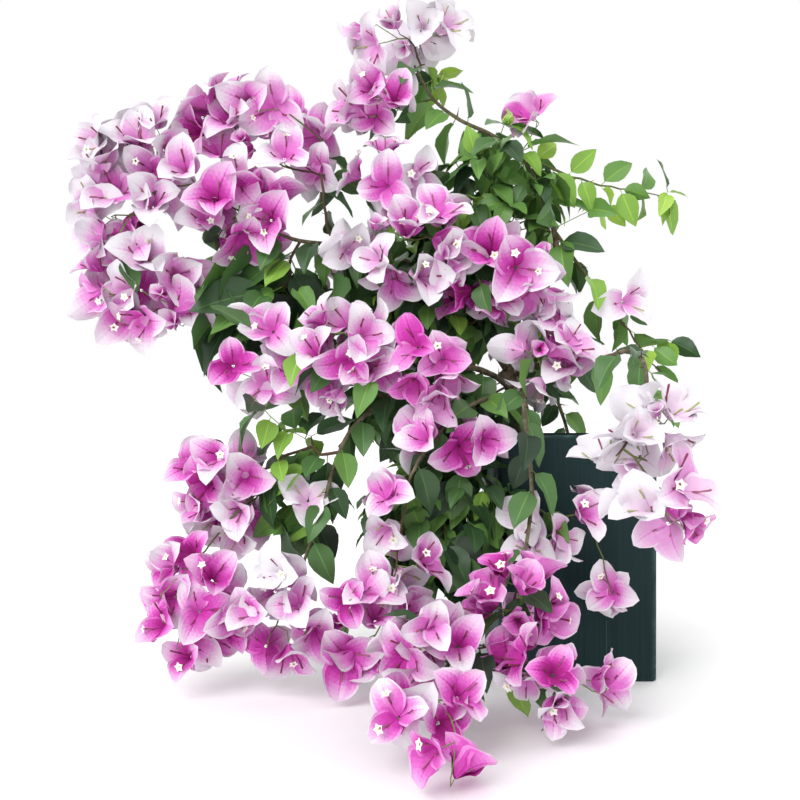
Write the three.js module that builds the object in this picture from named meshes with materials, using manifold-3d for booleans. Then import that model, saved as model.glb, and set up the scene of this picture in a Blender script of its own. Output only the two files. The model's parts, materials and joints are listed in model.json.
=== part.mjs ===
// Bougainvillea bush in a tall square planter.
// Millimetres, +Z up, origin at the centre of the planter's underside.
// +X is to the right and -Y to the front, the side that the long canes weep over.
import * as THREE from 'three';
import { mergeVertices } from 'three/addons/utils/BufferGeometryUtils.js';
import Module from 'manifold-3d';

const wasm = await Module();
wasm.setup();

// Planter: a tall square box, a little narrower at the foot, with a thicker rim.
const planterHeight = 265;
const rimWidth = 174;
const footWidth = 170;
const cornerRadius = 8;
const wall = 5;
const floorThickness = 6;
const rimLip = 3;
const rimDepth = 12;
const drainRadius = 6;
const drainOffset = 45;

// Soil block, its top below the rim to leave room for water.
const gap = 0.3;
const headSpace = 17;
const soilTop = planterHeight - headSpace;

// Short woody trunk, rising left of the planter's middle and leaning left to its fork.
const trunkRadius = 11;
const forkRadius = 8.5;
const rootFlare = 0.75;
const flareHeight = 14;
const rootLobes = 5;
const trunkSides = 20;
const trunkPath = [
  [-45, 0, soilTop + gap],
  [-45, 0, soilTop + 22],
  [-53, -3, 300],
  [-68, -8, 342],
];

// Canes: path, radius at the start and at the end, and the mass that each runs into.
const caneSides = 7;
const caneStep = 42;
const canes = {
  cane_top: {
    path: [
      [-66, -8, 334],
      [-38, -20, 400],
      [-12, -28, 478],
      [-27, -28, 535],
      [-62, -28, 596],
      [-122, -26, 628],
      [-165, -24, 668],
      [-184, -24, 726],
    ],
    radius: [4.4, 1.4],
    into: 'bloom_tip',
  },
  cane_left_arch: {
    path: [[-62, -6, 326], [-105, -14, 402], [-180, -26, 462], [-270, -34, 482], [-330, -44, 490],
      [-375, -52, 520]],
    radius: [4.2, 1.7],
    into: 'bloom_left_heart',
  },
  cane_lower_left: {
    path: [[-60, -5, 318], [-110, -50, 340], [-185, -78, 318], [-250, -98, 262], [-268, -112, 205],
      [-306, -135, 90]],
    radius: [3.6, 1.6],
    into: 'bloom_low_mid',
  },
  cane_centre_low: {
    path: [[-56, -4, 307], [-85, -70, 308], [-135, -125, 285], [-182, -140, 225], [-200, -140, 165]],
    radius: [2.9, 1.5],
    into: 'bloom_column_low',
  },
  cane_front_low: {
    path: [[-54, -3, 302], [-58, -75, 318], [-64, -135, 282], [-62, -168, 205], [-78, -205, 140],
      [-90, -225, 104]],
    radius: [3.1, 1.5],
    into: 'bloom_front_top',
  },
  cane_front_right: {
    path: [[-64, -7, 331], [-30, -48, 345], [18, -96, 346], [30, -180, 348], [22, -270, 326], [7, -330, 268]],
    radius: [3, 1.5],
    into: 'bloom_near_high',
  },
  cane_right_shoot: {
    path: [[-60, -28, 593], [-26, -25, 577], [14, -22, 560], [50, -20, 543], [104, -20, 530]],
    radius: [1.9, 1.3],
    into: 'leaf_shoot',
  },
  cane_right_droop: {
    path: [[-18, -28, 505], [12, -36, 458], [42, -40, 416], [80, -40, 370], [100, -40, 350]],
    radius: [2.2, 1.4],
    into: 'leaf_droop',
  },
  cane_back_high: {
    path: [[-58, -5, 312], [-72, 40, 370], [-95, 75, 430], [-118, 95, 470]],
    radius: [3.8, 1.8],
    into: 'back_high',
  },
  cane_back_low: {
    path: [[-50, -2, 292], [-35, 60, 335], [10, 125, 318], [42, 160, 240], [55, 170, 170]],
    radius: [3.4, 1.7],
    into: 'back_low',
  },
};

// Masses of leaf and blossom: centre, size across, through and up, and lean in the X-Z plane.
const leafGreen = 0x3d5c34;
const blossomPink = 0xd88cc8;
const palePink = 0xeacde2;
const masses = {
  leaf: {
    color: leafGreen,
    detail: 2,
    items: {
      core_high: { at: [-150, -4, 432], size: [182, 106, 166], lean: 10 },
      core_mid: { at: [-154, -28, 300], size: [190, 104, 122], lean: 0 },
      core_low: { at: [-150, -98, 184], size: [180, 50, 160], lean: -4 },
      leaf_top: { at: [-160, -14, 664], size: [68, 40, 68], lean: 0 },
      leaf_right_high: { at: [-84, -22, 552], size: [168, 84, 168], lean: 10 },
      leaf_shoot: { at: [76, -20, 541], size: [140, 38, 70], lean: 10 },
      leaf_droop: { at: [97, -40, 374], size: [88, 44, 152], lean: -22 },
      leaf_left: { at: [-348, -26, 434], size: [164, 38, 136], lean: 0 },
      leaf_low_left: { at: [-296, -90, 222], size: [116, 36, 150], lean: 0 },
      back_high: { at: [-122, 98, 468], size: [236, 82, 170], lean: 8 },
      back_left: { at: [-290, 72, 402], size: [152, 40, 140], lean: -10 },
      back_right: { at: [0, 96, 380], size: [124, 76, 94], lean: 0 },
      back_middle: { at: [-120, 140, 264], size: [124, 64, 198], lean: 0 },
      back_low: { at: [56, 174, 150], size: [142, 70, 188], lean: 0 },
    },
  },
  blossom: {
    color: blossomPink,
    detail: 1,
    items: {
      bloom_high: { at: [-219, -45, 638], size: [76, 40, 80], lean: 0 },
      bloom_crest: { at: [-376, -45, 622], size: [146, 34, 94], lean: -10 },
      bloom_left_heart: { at: [-372, -56, 520], size: [134, 36, 114], lean: 0 },
      bloom_left_edge: { at: [-497, -50, 550], size: [114, 34, 166], lean: 8 },
      bloom_left_drop: { at: [-476, -50, 426], size: [142, 34, 118], lean: 20 },
      bloom_cheek: { at: [-250, -64, 464], size: [60, 40, 84], lean: 0 },
      bloom_brow: { at: [-206, -62, 551], size: [104, 52, 88], lean: 0 },
      bloom_column: { at: [-174, -88, 470], size: [128, 54, 118], lean: 0 },
      bloom_right_high: { at: [-70, -78, 430], size: [136, 58, 98], lean: 8 },
      bloom_right_low: { at: [-32, -88, 354], size: [128, 60, 96], lean: 12 },
      bloom_single: { at: [-34, -20, 632], size: [56, 34, 56], lean: 0 },
      bloom_left_mid: { at: [-336, -86, 350], size: [96, 36, 136], lean: 16 },
      bloom_heart_left: { at: [-250, -116, 350], size: [106, 42, 118], lean: -10 },
      bloom_heart_right: { at: [-161, -128, 342], size: [94, 52, 102], lean: 0 },
      bloom_funnel: { at: [-138, -130, 258], size: [108, 48, 66], lean: 0 },
      bloom_low_left: { at: [-403, -130, 88], size: [104, 34, 134], lean: -12 },
      bloom_low_mid: { at: [-310, -140, 84], size: [102, 38, 122], lean: 0 },
      bloom_column_low: { at: [-200, -140, 166], size: [70, 46, 128], lean: 0 },
      bloom_front_left: { at: [-165, -252, 80], size: [92, 62, 90], lean: 0 },
      bloom_front_top: { at: [-89, -224, 106], size: [98, 62, 90], lean: -14 },
      bloom_front_right: { at: [-76, -264, 54], size: [106, 62, 82], lean: 10 },
      bloom_front_low: { at: [-171, -312, 43], size: [96, 62, 68], lean: -8 },
      bloom_front_tip: { at: [-155, -370, 22], size: [56, 48, 40], lean: 0 },
      bloom_pot_low: { at: [-7, -226, 38], size: [56, 38, 70], lean: -10 },
      bloom_pot_mid: { at: [32, -140, 102], size: [82, 42, 90], lean: -10 },
      bloom_pot_high: { at: [-29, -130, 174], size: [116, 44, 92], lean: -14 },
    },
  },
  pale_blossom: {
    color: palePink,
    detail: 1,
    items: {
      bloom_tip: { at: [-183, -25, 726], size: [142, 54, 64], lean: 0 },
      bloom_shoulder: { at: [-285, -36, 577], size: [82, 36, 104], lean: 0 },
      bloom_left_soft: { at: [-377, -92, 204], size: [112, 34, 120], lean: 0 },
      bloom_low_right: { at: [-224, -150, 74], size: [96, 42, 124], lean: 0 },
      bloom_near_high: { at: [7, -330, 269], size: [96, 50, 78], lean: -20 },
      bloom_near_low: { at: [14, -335, 216], size: [84, 48, 78], lean: 10 },
    },
  },
};

const planterColor = 0x22332f;
const soilColor = 0x3b2d22;
const barkColor = 0x5c4a3a;

// A closed geometry as a solid that can be cut and joined.
function toSolid(geometry) {
  const bare = geometry.clone();
  bare.deleteAttribute('normal');
  bare.deleteAttribute('uv');
  const merged = mergeVertices(bare, 1e-3);
  return new wasm.Manifold(new wasm.Mesh({
    numProp: 3,
    vertProperties: new Float32Array(merged.attributes.position.array),
    triVerts: new Uint32Array(merged.index.array),
  }));
}

function toGeometry(solid) {
  const mesh = solid.getMesh();
  const geometry = new THREE.BufferGeometry();
  geometry.setAttribute('position', new THREE.BufferAttribute(new Float32Array(mesh.vertProperties), 3));
  geometry.setIndex(new THREE.BufferAttribute(new Uint32Array(mesh.triVerts), 1));
  geometry.computeVertexNormals();
  return geometry;
}

// The largest piece of a solid that its cuts left in several.
function largestPiece(solid) {
  const pieces = solid.decompose();
  return pieces.reduce((best, piece) => (piece.volume() > best.volume() ? piece : best));
}

function boxesMeet(a, b) {
  const first = a.boundingBox();
  const second = b.boundingBox();
  return [0, 1, 2].every((k) => first.min[k] < second.max[k] && second.min[k] < first.max[k]);
}

// The solid less each of the others that it could meet.
function cutBy(solid, others) {
  let rest = solid;
  for (const other of others) {
    if (boxesMeet(rest, other)) {
      rest = rest.subtract(other);
    }
  }
  return rest;
}

// A rounded square prism between two heights, its width following the planter's taper.
function taperedPrism(inset, low, high) {
  const half = rimWidth / 2 - inset;
  const radius = Math.max(cornerRadius - inset, 2);
  const outline = new THREE.Shape();
  outline.moveTo(half, -half + radius);
  outline.lineTo(half, half - radius);
  outline.absarc(half - radius, half - radius, radius, 0, Math.PI / 2);
  outline.absarc(-half + radius, half - radius, radius, Math.PI / 2, Math.PI);
  outline.absarc(-half + radius, -half + radius, radius, Math.PI, 1.5 * Math.PI);
  outline.absarc(half - radius, -half + radius, radius, 1.5 * Math.PI, 2 * Math.PI);
  const depth = high - low;
  const prism = new THREE.ExtrudeGeometry(outline, { depth, bevelEnabled: false, curveSegments: 4 });
  prism.translate(0, 0, low);
  const place = prism.attributes.position;
  const narrowing = (rimWidth - footWidth) / 2;
  for (let i = 0; i < place.count; i += 1) {
    const shrink = 1 - (narrowing / half) * (1 - place.getZ(i) / planterHeight);
    place.setXY(i, place.getX(i) * shrink, place.getY(i) * shrink);
  }
  return toSolid(prism);
}

function planterSolid() {
  const drain = new THREE.CylinderGeometry(drainRadius, drainRadius, 3 * floorThickness, 16);
  drain.rotateX(Math.PI / 2);
  const rimBottom = planterHeight - rimDepth;
  let shell = taperedPrism(0, 0, planterHeight);
  shell = shell.subtract(taperedPrism(wall, floorThickness, rimBottom));
  shell = shell.subtract(taperedPrism(wall + rimLip, rimBottom - 1, planterHeight + 1));
  for (const x of [-drainOffset, drainOffset]) {
    for (const y of [-drainOffset, drainOffset]) {
      shell = shell.subtract(toSolid(drain.clone().translate(x, y, floorThickness / 2)));
    }
  }
  return shell;
}

// A cylinder bent along a smooth path, tapering from one radius to the other. Its swell is a factor on the
// radius by height along the limb and angle round it, and grow is added to the radius all over.
function limbSolid(path, [startRadius, endRadius], sides, steps, grow = 0, swell = () => 1) {
  const curve = new THREE.CatmullRomCurve3(path.map((p) => new THREE.Vector3(...p)), false, 'centripetal');
  const length = curve.getLength();
  const tube = new THREE.CylinderGeometry(1, 1, 1, sides, steps);
  const place = tube.attributes.position;
  const frames = [];
  let side = new THREE.Vector3(1, 0, 0);
  for (let k = 0; k <= steps; k += 1) {
    const along = curve.getTangentAt(k / steps);
    side = side.clone().addScaledVector(along, -side.dot(along)).normalize();
    frames.push({ centre: curve.getPointAt(k / steps), side, across: side.clone().cross(along) });
  }
  for (let i = 0; i < place.count; i += 1) {
    const t = place.getY(i) + 0.5;
    const frame = frames[Math.round(t * steps)];
    const angle = Math.atan2(place.getZ(i), place.getX(i));
    const radius = THREE.MathUtils.lerp(startRadius, endRadius, t) * swell(t * length, angle) + grow;
    const point = frame.centre.clone();
    point.addScaledVector(frame.side, place.getX(i) * radius);
    point.addScaledVector(frame.across, place.getZ(i) * radius);
    place.setXYZ(i, point.x, point.y, point.z);
  }
  return toSolid(tube);
}

function trunkSolid(grow = 0) {
  const swell = (height, angle) => {
    const fade = Math.exp(-height / flareHeight);
    return 1 + fade * (rootFlare + 0.22 * Math.cos(rootLobes * angle + 0.6));
  };
  return limbSolid(trunkPath, [trunkRadius, forkRadius], trunkSides, 9, grow, swell);
}

function caneSolid(cane, grow = 0) {
  let length = 0;
  for (let i = 1; i < cane.path.length; i += 1) {
    length += new THREE.Vector3(...cane.path[i]).distanceTo(new THREE.Vector3(...cane.path[i - 1]));
  }
  return limbSolid(cane.path, cane.radius, caneSides, Math.ceil(length / caneStep), grow);
}

// An uneven lump: a ball stretched to the mass's size, with broad swells that differ from mass to mass.
function massSolid({ at, size, lean }, detail, seed, grow = 0) {
  const ball = new THREE.IcosahedronGeometry(1, detail);
  const place = ball.attributes.position;
  const direction = new THREE.Vector3();
  for (let i = 0; i < place.count; i += 1) {
    direction.fromBufferAttribute(place, i).normalize();
    const swell = 1
      + 0.09 * Math.sin(3.1 * direction.x + 2.3 * direction.z + seed)
      + 0.07 * Math.sin(4.3 * direction.z - 2.7 * direction.y + 2.1 * seed)
      + 0.05 * Math.sin(5.2 * direction.x + 3.7 * direction.y + 3.3 * seed);
    place.setXYZ(
      i,
      direction.x * (swell * size[0] / 2 + grow),
      direction.y * (swell * size[1] / 2 + grow),
      direction.z * (swell * size[2] / 2 + grow),
    );
  }
  ball.rotateY(THREE.MathUtils.degToRad(lean));
  ball.translate(...at);
  return toSolid(ball);
}

const solids = {};
const clearances = {};

function keep(name, solid, material) {
  solids[name] = { solid, material };
}

const bark = new THREE.MeshStandardMaterial({ color: barkColor, roughness: 0.9, metalness: 0 });
keep('planter', planterSolid(), new THREE.MeshStandardMaterial({
  color: planterColor,
  roughness: 0.6,
  metalness: 0,
}));
keep('soil', taperedPrism(wall + gap, floorThickness + gap, soilTop), new THREE.MeshStandardMaterial({
  color: soilColor,
  roughness: 1,
  metalness: 0,
}));
keep('trunk', trunkSolid(), bark);
clearances.trunk = trunkSolid(gap);
const planterClearance = taperedPrism(-gap, -1, planterHeight + gap);

// The masses as they are before anything is cut from them.
const rawMasses = [];
for (const { color, detail, items } of Object.values(masses)) {
  const material = new THREE.MeshStandardMaterial({ color, roughness: 0.8, metalness: 0 });
  for (const [name, shape] of Object.entries(items)) {
    const seed = 1.7 * rawMasses.length;
    rawMasses.push({ name, shape, detail, seed, material });
  }
}

// Each cane runs clear of the trunk and of the canes before it, and ends where it enters its own mass.
const caneClearances = {};
for (const [name, cane] of Object.entries(canes)) {
  const target = rawMasses.find((mass) => mass.name === cane.into);
  const inTheWay = [clearances.trunk, ...Object.values(caneClearances)];
  inTheWay.push(massSolid(target.shape, target.detail, target.seed, gap));
  keep(name, largestPiece(cutBy(caneSolid(cane), inTheWay)), bark);
  caneClearances[name] = caneSolid(cane, gap);
}

// Each mass is cut round the trunk, the planter, the canes that pass through it and the masses before it.
const massClearances = [];
for (const { name, shape, detail, seed, material } of rawMasses) {
  const passing = Object.keys(canes).filter((cane) => canes[cane].into !== name);
  const inTheWay = [planterClearance, clearances.trunk, ...passing.map((cane) => caneClearances[cane])];
  const solid = massSolid(shape, detail, seed);
  keep(name, largestPiece(cutBy(solid, [...inTheWay, ...massClearances])), material);
  massClearances.push(massSolid(shape, detail, seed, gap));
}

const bougainvillea = new THREE.Group();
for (const [name, { solid, material }] of Object.entries(solids)) {
  const mesh = new THREE.Mesh(toGeometry(solid), material);
  mesh.name = name;
  bougainvillea.add(mesh);
}

export default bougainvillea;
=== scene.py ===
import json
import math
import random
from types import SimpleNamespace

import bpy
import numpy as np
from mathutils import Matrix, Vector, noise
from mathutils.bvhtree import BVHTree

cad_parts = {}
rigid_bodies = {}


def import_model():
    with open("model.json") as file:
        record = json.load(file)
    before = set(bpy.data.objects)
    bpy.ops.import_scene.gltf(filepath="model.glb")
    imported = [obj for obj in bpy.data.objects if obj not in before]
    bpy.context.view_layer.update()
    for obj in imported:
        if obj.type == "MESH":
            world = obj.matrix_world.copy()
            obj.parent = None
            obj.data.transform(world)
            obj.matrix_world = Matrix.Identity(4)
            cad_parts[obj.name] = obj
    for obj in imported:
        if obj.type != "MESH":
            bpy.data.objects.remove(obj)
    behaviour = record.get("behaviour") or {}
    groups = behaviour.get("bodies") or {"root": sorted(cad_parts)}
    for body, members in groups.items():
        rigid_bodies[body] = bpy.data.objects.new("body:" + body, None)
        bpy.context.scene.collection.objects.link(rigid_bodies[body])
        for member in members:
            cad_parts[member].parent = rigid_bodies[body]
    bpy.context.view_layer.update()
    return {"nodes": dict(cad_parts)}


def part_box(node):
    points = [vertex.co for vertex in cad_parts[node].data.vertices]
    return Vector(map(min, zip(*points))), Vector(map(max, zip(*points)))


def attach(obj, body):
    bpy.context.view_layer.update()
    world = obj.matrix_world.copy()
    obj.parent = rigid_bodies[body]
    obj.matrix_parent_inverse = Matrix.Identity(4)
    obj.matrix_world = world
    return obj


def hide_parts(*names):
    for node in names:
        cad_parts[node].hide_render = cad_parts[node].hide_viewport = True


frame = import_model()
cadNodes = frame["nodes"]
scene = bpy.context.scene
up = Vector((0, 0, 1))

cameraSetup = {
    "place": (-0.192, -1.037, 0.280),
    "tiltUp": 1.37,  # degrees above level
    "lens": 39.6,
    "sensor": 36.0,
    "clipStart": 0.02,
}


def addObject(name, data):
    thing = bpy.data.objects.new(name, data)
    scene.collection.objects.link(thing)
    return thing


def makeCamera():
    data = bpy.data.cameras.new("plantCamera")
    data.lens = cameraSetup["lens"]
    data.sensor_width = cameraSetup["sensor"]
    data.clip_start = cameraSetup["clipStart"]
    camera = addObject("plantCamera", data)
    camera.location = cameraSetup["place"]
    camera.rotation_euler = (math.radians(90 + cameraSetup["tiltUp"]), 0, 0)
    scene.camera = camera


makeCamera()
print("camera placed")


def meshObject(name, vertices, faces=(), materials=(), smooth=True, edges=()):
    mesh = bpy.data.meshes.new(name)
    mesh.from_pydata([tuple(v) for v in vertices], edges, faces)
    for material in materials:
        mesh.materials.append(material)
    mesh.polygons.foreach_set("use_smooth", [smooth] * len(mesh.polygons))
    mesh.update()
    return addObject(name, mesh)


def setAttribute(thing, label, kind, values, domain="POINT"):
    thing.data.attributes.new(label, kind, domain).data.foreach_set("value", values)


def around(count):
    # even angles round a circle
    return [2 * math.pi * k / count for k in range(count)]


def ringSkin(rings, ends="flat"):
    # bridges rings of as many vertices each; ends are flat faces, open, or a point beyond each end
    count = len(rings[0])
    vertices = [v for ring in rings for v in ring]
    last = len(vertices) - count
    faces = []
    for start in range(0, last, count):
        for k in range(count):
            a, b = start + k, start + (k + 1) % count
            faces.append((a, b, b + count, a + count))
    if ends == "flat":
        faces += [tuple(reversed(range(count))), tuple(range(last, last + count))]
    elif ends != "open":
        vertices += ends
        for k in range(count):
            after = (k + 1) % count
            faces += [(last + count, after, k), (last + k, last + after, last + count + 1)]
    return vertices, faces


def addPart(vertices, faces, part):
    start = len(vertices)
    vertices += part[0]
    faces += [tuple(start + i for i in face) for face in part[1]]


def settleMesh(thing):
    # keeps the plain mesh that the modifiers make
    graph = bpy.context.evaluated_depsgraph_get()
    made = bpy.data.meshes.new_from_object(thing.evaluated_get(graph))
    old = thing.data
    thing.modifiers.clear()
    thing.data = made
    bpy.data.meshes.remove(old)
    made.name = thing.name


def surfaceOf(mesh):
    return BVHTree.FromPolygons([v.co for v in mesh.vertices], [tuple(p.vertices) for p in mesh.polygons])


def finishPiece(thing, slotName, *replaced):
    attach(thing, "root")
    if replaced:
        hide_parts(*replaced)


def setInputs(node, inputs):
    # a plain value is set, a socket is linked, and a node stands for its first output
    for key, value in inputs.items():
        if isinstance(value, bpy.types.Node):
            value = value.outputs[0]
        if isinstance(value, bpy.types.NodeSocket):
            node.id_data.links.new(value, node.inputs[key])
        else:
            node.inputs[key].default_value = value


def addNode(tree, kind, inputs=None, **settings):
    node = tree.nodes.new(kind)
    for key, value in settings.items():
        setattr(node, key, value)
    setInputs(node, inputs or {})
    return node


def combine(tree, operation, first, second, kind="ShaderNodeMath"):
    return addNode(tree, kind, {0: first, 1: second}, operation=operation)


def newTree(name, inputs, outputs=()):
    # a shader group with these outputs, or a Geometry Nodes tree where none are given
    tree = bpy.data.node_groups.new(name, "ShaderNodeTree" if outputs else "GeometryNodeTree")

    def addSocket(label, way, kind):
        return tree.interface.new_socket(name=label, in_out=way, socket_type="NodeSocket" + kind)

    if not outputs:
        addSocket("Geometry", "INPUT", "Geometry")
        addSocket("Geometry", "OUTPUT", "Geometry")
    for label, value in inputs.items():
        addSocket(label, "INPUT", "Int" if isinstance(value, int) else "Float").default_value = value
    for label in outputs:
        addSocket(label, "OUTPUT", "Float")
    return tree, tree.nodes.new("NodeGroupInput").outputs, tree.nodes.new("NodeGroupOutput")


def newMaterial(name):
    material = bpy.data.materials.new(name)
    material.use_nodes = True
    return material, material.node_tree, material.node_tree.nodes["Principled BSDF"]


def srgb(*levels):
    shares = [level / 255 for level in levels]
    return (*(s / 12.92 if s <= 0.04045 else ((s + 0.055) / 1.055) ** 2.4 for s in shares), 1)


def shadeLadder(keys, count):
    # even steps through the key colours
    at = np.linspace(0, len(keys) - 1, count)
    return list(zip(*(np.interp(at, range(len(keys)), channel) for channel in zip(*keys))))


petalKeys = [  # from the throat out to the margin
    (158, 34, 124),
    (186, 50, 154),
    (203, 76, 176),
    (213, 108, 192),
    (219, 138, 204),
    (222, 166, 212),
    (224, 190, 218),
    (225, 209, 223),
    (227, 223, 229),
]
petalSteps = 22
shadesPerTone = (petalSteps - 1) / 10
leafKeys = [  # from the oldest leaf to the youngest
    (38, 58, 38),
    (54, 82, 50),
    (76, 112, 62),
    (100, 142, 70),
    (126, 168, 68),
    (156, 194, 78),
    (186, 210, 130),
]
# plain colours, dealt out face by face, then the roughness and the shine
organLook = {
    "petal": (shadeLadder(petalKeys, petalSteps), 0.7, 0.2),
    "leafBlade": (leafKeys, 0.42, 0.34),
    "flowerTube": ([(134, 60, 86), (158, 96, 118), (168, 176, 120)], 0.6, 0.3),
    "starFlower": ([(246, 244, 232), (196, 204, 120)], 0.6, 0.3),
    "youngTwig": ([(86, 70, 52), (96, 104, 58), (120, 144, 70)], 0.7, 0.3),
}


def plainMaterials(name):
    made = []
    shades, roughness, shine = organLook[name]
    for i, levels in enumerate(shades):
        material, _, shader = newMaterial(f"{name}{i}")
        material.diffuse_color = srgb(*levels)
        setInputs(shader, {"Base Color": srgb(*levels), "Roughness": roughness, "Specular IOR Level": shine})
        made.append(material)
    return made


organMaterials = {name: plainMaterials(name) for name in organLook}


def objectPlace(tree):
    return addNode(tree, "ShaderNodeTexCoord").outputs["Object"]


def makeStreakGroup():
    # long fine streaks along Z, as brush lines on paint or fibres in bark
    tree, given, result = newTree("uprightStreaks", {"Across": 300.0, "Along": 6.0, "Contrast": 0.5},
                                  ["Mask", "Height"])
    scaleBy = addNode(tree, "ShaderNodeCombineXYZ",
                      {"X": given["Across"], "Y": given["Across"], "Z": given["Along"]})
    stretched = combine(tree, "MULTIPLY", objectPlace(tree), scaleBy, "ShaderNodeVectorMath")
    fine = addNode(tree, "ShaderNodeTexNoise",
                   {"Vector": stretched, "Scale": 1.0, "Detail": 3.0, "Roughness": 0.6})
    spread = addNode(tree, "ShaderNodeMapRange", {"Value": fine, "From Min": 0.35, "From Max": 0.65})
    setInputs(result, {"Mask": combine(tree, "MULTIPLY", spread, given["Contrast"]), "Height": fine})
    return tree


def makeBlotchGroup():
    # soft blotches, for dust, damp and weathering
    tree, given, result = newTree("weatherBlotches", {"Size": 14.0, "Low": 0.4, "High": 0.7},
                                  ["Mask", "Height"])
    blotch = addNode(tree, "ShaderNodeTexNoise", {"Vector": objectPlace(tree), "Scale": given["Size"],
                                                  "Detail": 6.0, "Roughness": 0.62, "Distortion": 0.6})
    spread = addNode(tree, "ShaderNodeMapRange",
                     {"Value": blotch, "From Min": given["Low"], "From Max": given["High"]})
    setInputs(result, {"Mask": spread, "Height": blotch})
    return tree


streakGroup = makeStreakGroup()
blotchGroup = makeBlotchGroup()


def placeGroup(tree, group, **values):
    return addNode(tree, "ShaderNodeGroup", values, node_tree=group)


def mixColours(tree, factor, first, second, blend="MIX"):
    mix = addNode(tree, "ShaderNodeMix", {0: factor, 6: first, 7: second}, data_type="RGBA", blend_type=blend)
    return mix.outputs[2]


def bumpFrom(tree, group, strength, distance):
    return addNode(tree, "ShaderNodeBump",
                   {"Height": group.outputs["Height"], "Strength": strength, "Distance": distance})


planterLook = {
    "paint": srgb(22, 47, 48),
    "paintDark": srgb(14, 36, 38),
    "wornEdgeAndHighlight": srgb(60, 86, 84),
    # paint rubbed off the edges, and a painted highlight down the corners
    "dust": srgb(48, 64, 66),
    "dustCover": 0.12,  # how much of the paint the dust hides at the rim, none of it at the foot
    "scoreLine": srgb(44, 74, 72),
    "scorePlace": (0.030, 0.0005, 0.066),  # where the score on the front is, its half width and its top
    "shine": 0.18,
    "roughness": (0.55, 0.66),
    "brushBump": 0.06,
    "taper": 0.002,  # how much narrower each side is at the foot
    "cornerRadius": 0.008,
    "edgeBevel": 0.0012,
    "wall": 0.005,
    "wallRows": 12,
    "rimLip": 0.003,
    "rimDepth": 0.012,
    "floor": 0.006,
    "wearReach": 0.004,  # the first row of faces above the foot and below the rim
    "wearAndHighlightDepth": 0.0025,
    "rimWear": 0.0015,
    "footWear": 0.002,
    "drainRadius": 0.006,
    "drainOffset": 0.045,
    "drainPast": 0.01,
}


def makePlanterMaterial(height):
    look = planterLook
    material, tree, shader = newMaterial("greenPlanterPaint")
    streaks = placeGroup(tree, streakGroup, Across=300.0, Along=4.0, Contrast=0.8)
    grains = placeGroup(tree, streakGroup, Across=900.0, Along=500.0, Contrast=0.25)
    blotches = placeGroup(tree, blotchGroup, Size=9.0, Low=0.3, High=0.75)
    scuffs = placeGroup(tree, blotchGroup, Size=70.0, Low=0.38, High=0.62)
    edges = addNode(tree, "ShaderNodeAttribute", attribute_name="edgeWear").outputs["Fac"]
    x, y, z = addNode(tree, "ShaderNodeSeparateXYZ", {0: objectPlace(tree)}).outputs
    high = addNode(tree, "ShaderNodeMapRange", {"Value": z, "From Max": height, "To Max": look["dustCover"]})
    scoreAt, scoreHalf, scoreTop = look["scorePlace"]
    near = addNode(tree, "ShaderNodeMath", {0: x, 1: scoreAt, 2: scoreHalf}, operation="COMPARE")
    below, onFront = combine(tree, "LESS_THAN", z, scoreTop), combine(tree, "LESS_THAN", y, 0.0)
    base = look["paint"]
    for cover, colour in (
        (streaks, "paintDark"),
        (grains, "paintDark"),
        (high, "dust"),
        (combine(tree, "MULTIPLY", near, combine(tree, "MULTIPLY", below, onFront)), "scoreLine"),
        # edge wear, with a painted highlight down the corners that stand out
        (combine(tree, "MULTIPLY", edges, scuffs), "wornEdgeAndHighlight"),
    ):
        base = mixColours(tree, cover, base, look[colour])
    smoothest, roughest = look["roughness"]
    rough = addNode(tree, "ShaderNodeMapRange", {"Value": blotches, "To Min": smoothest, "To Max": roughest})
    setInputs(shader, {"Base Color": base, "Roughness": rough, "Specular IOR Level": look["shine"],
                       "Normal": bumpFrom(tree, streaks, look["brushBump"], 0.002)})
    return material


def roundedSquare(half, radius, steps=6):
    ring = []
    for quarter, (signX, signY) in enumerate(((1, 1), (-1, 1), (-1, -1), (1, -1))):
        corner = Vector((signX * (half - radius), signY * (half - radius)))
        for k in range(steps + 1):
            angle = quarter * math.pi / 2 + k / steps * math.pi / 2
            ring.append((corner.x + radius * math.cos(angle), corner.y + radius * math.sin(angle)))
        side = Vector((-math.sin(angle), math.cos(angle))) * 2 * (half - radius)
        here = Vector(ring[-1])
        ring += [tuple(here + side * share) for share in (0.04, 0.2, 0.5, 0.8, 0.96)]
    return ring


def makeDrainCutters():
    # round rods through the floor, a little longer than it is thick
    look = planterLook
    vertices, faces = [], []
    circle = [(look["drainRadius"] * math.cos(a), look["drainRadius"] * math.sin(a)) for a in around(20)]
    levels = (-look["drainPast"], look["floor"] + look["drainPast"])
    for signX, signY in ((-1, -1), (-1, 1), (1, -1), (1, 1)):
        x, y = signX * look["drainOffset"], signY * look["drainOffset"]
        addPart(vertices, faces, ringSkin([[(x + a, y + b, z) for a, b in circle] for z in levels]))
    return meshObject("drainCutters", vertices, faces)


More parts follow.
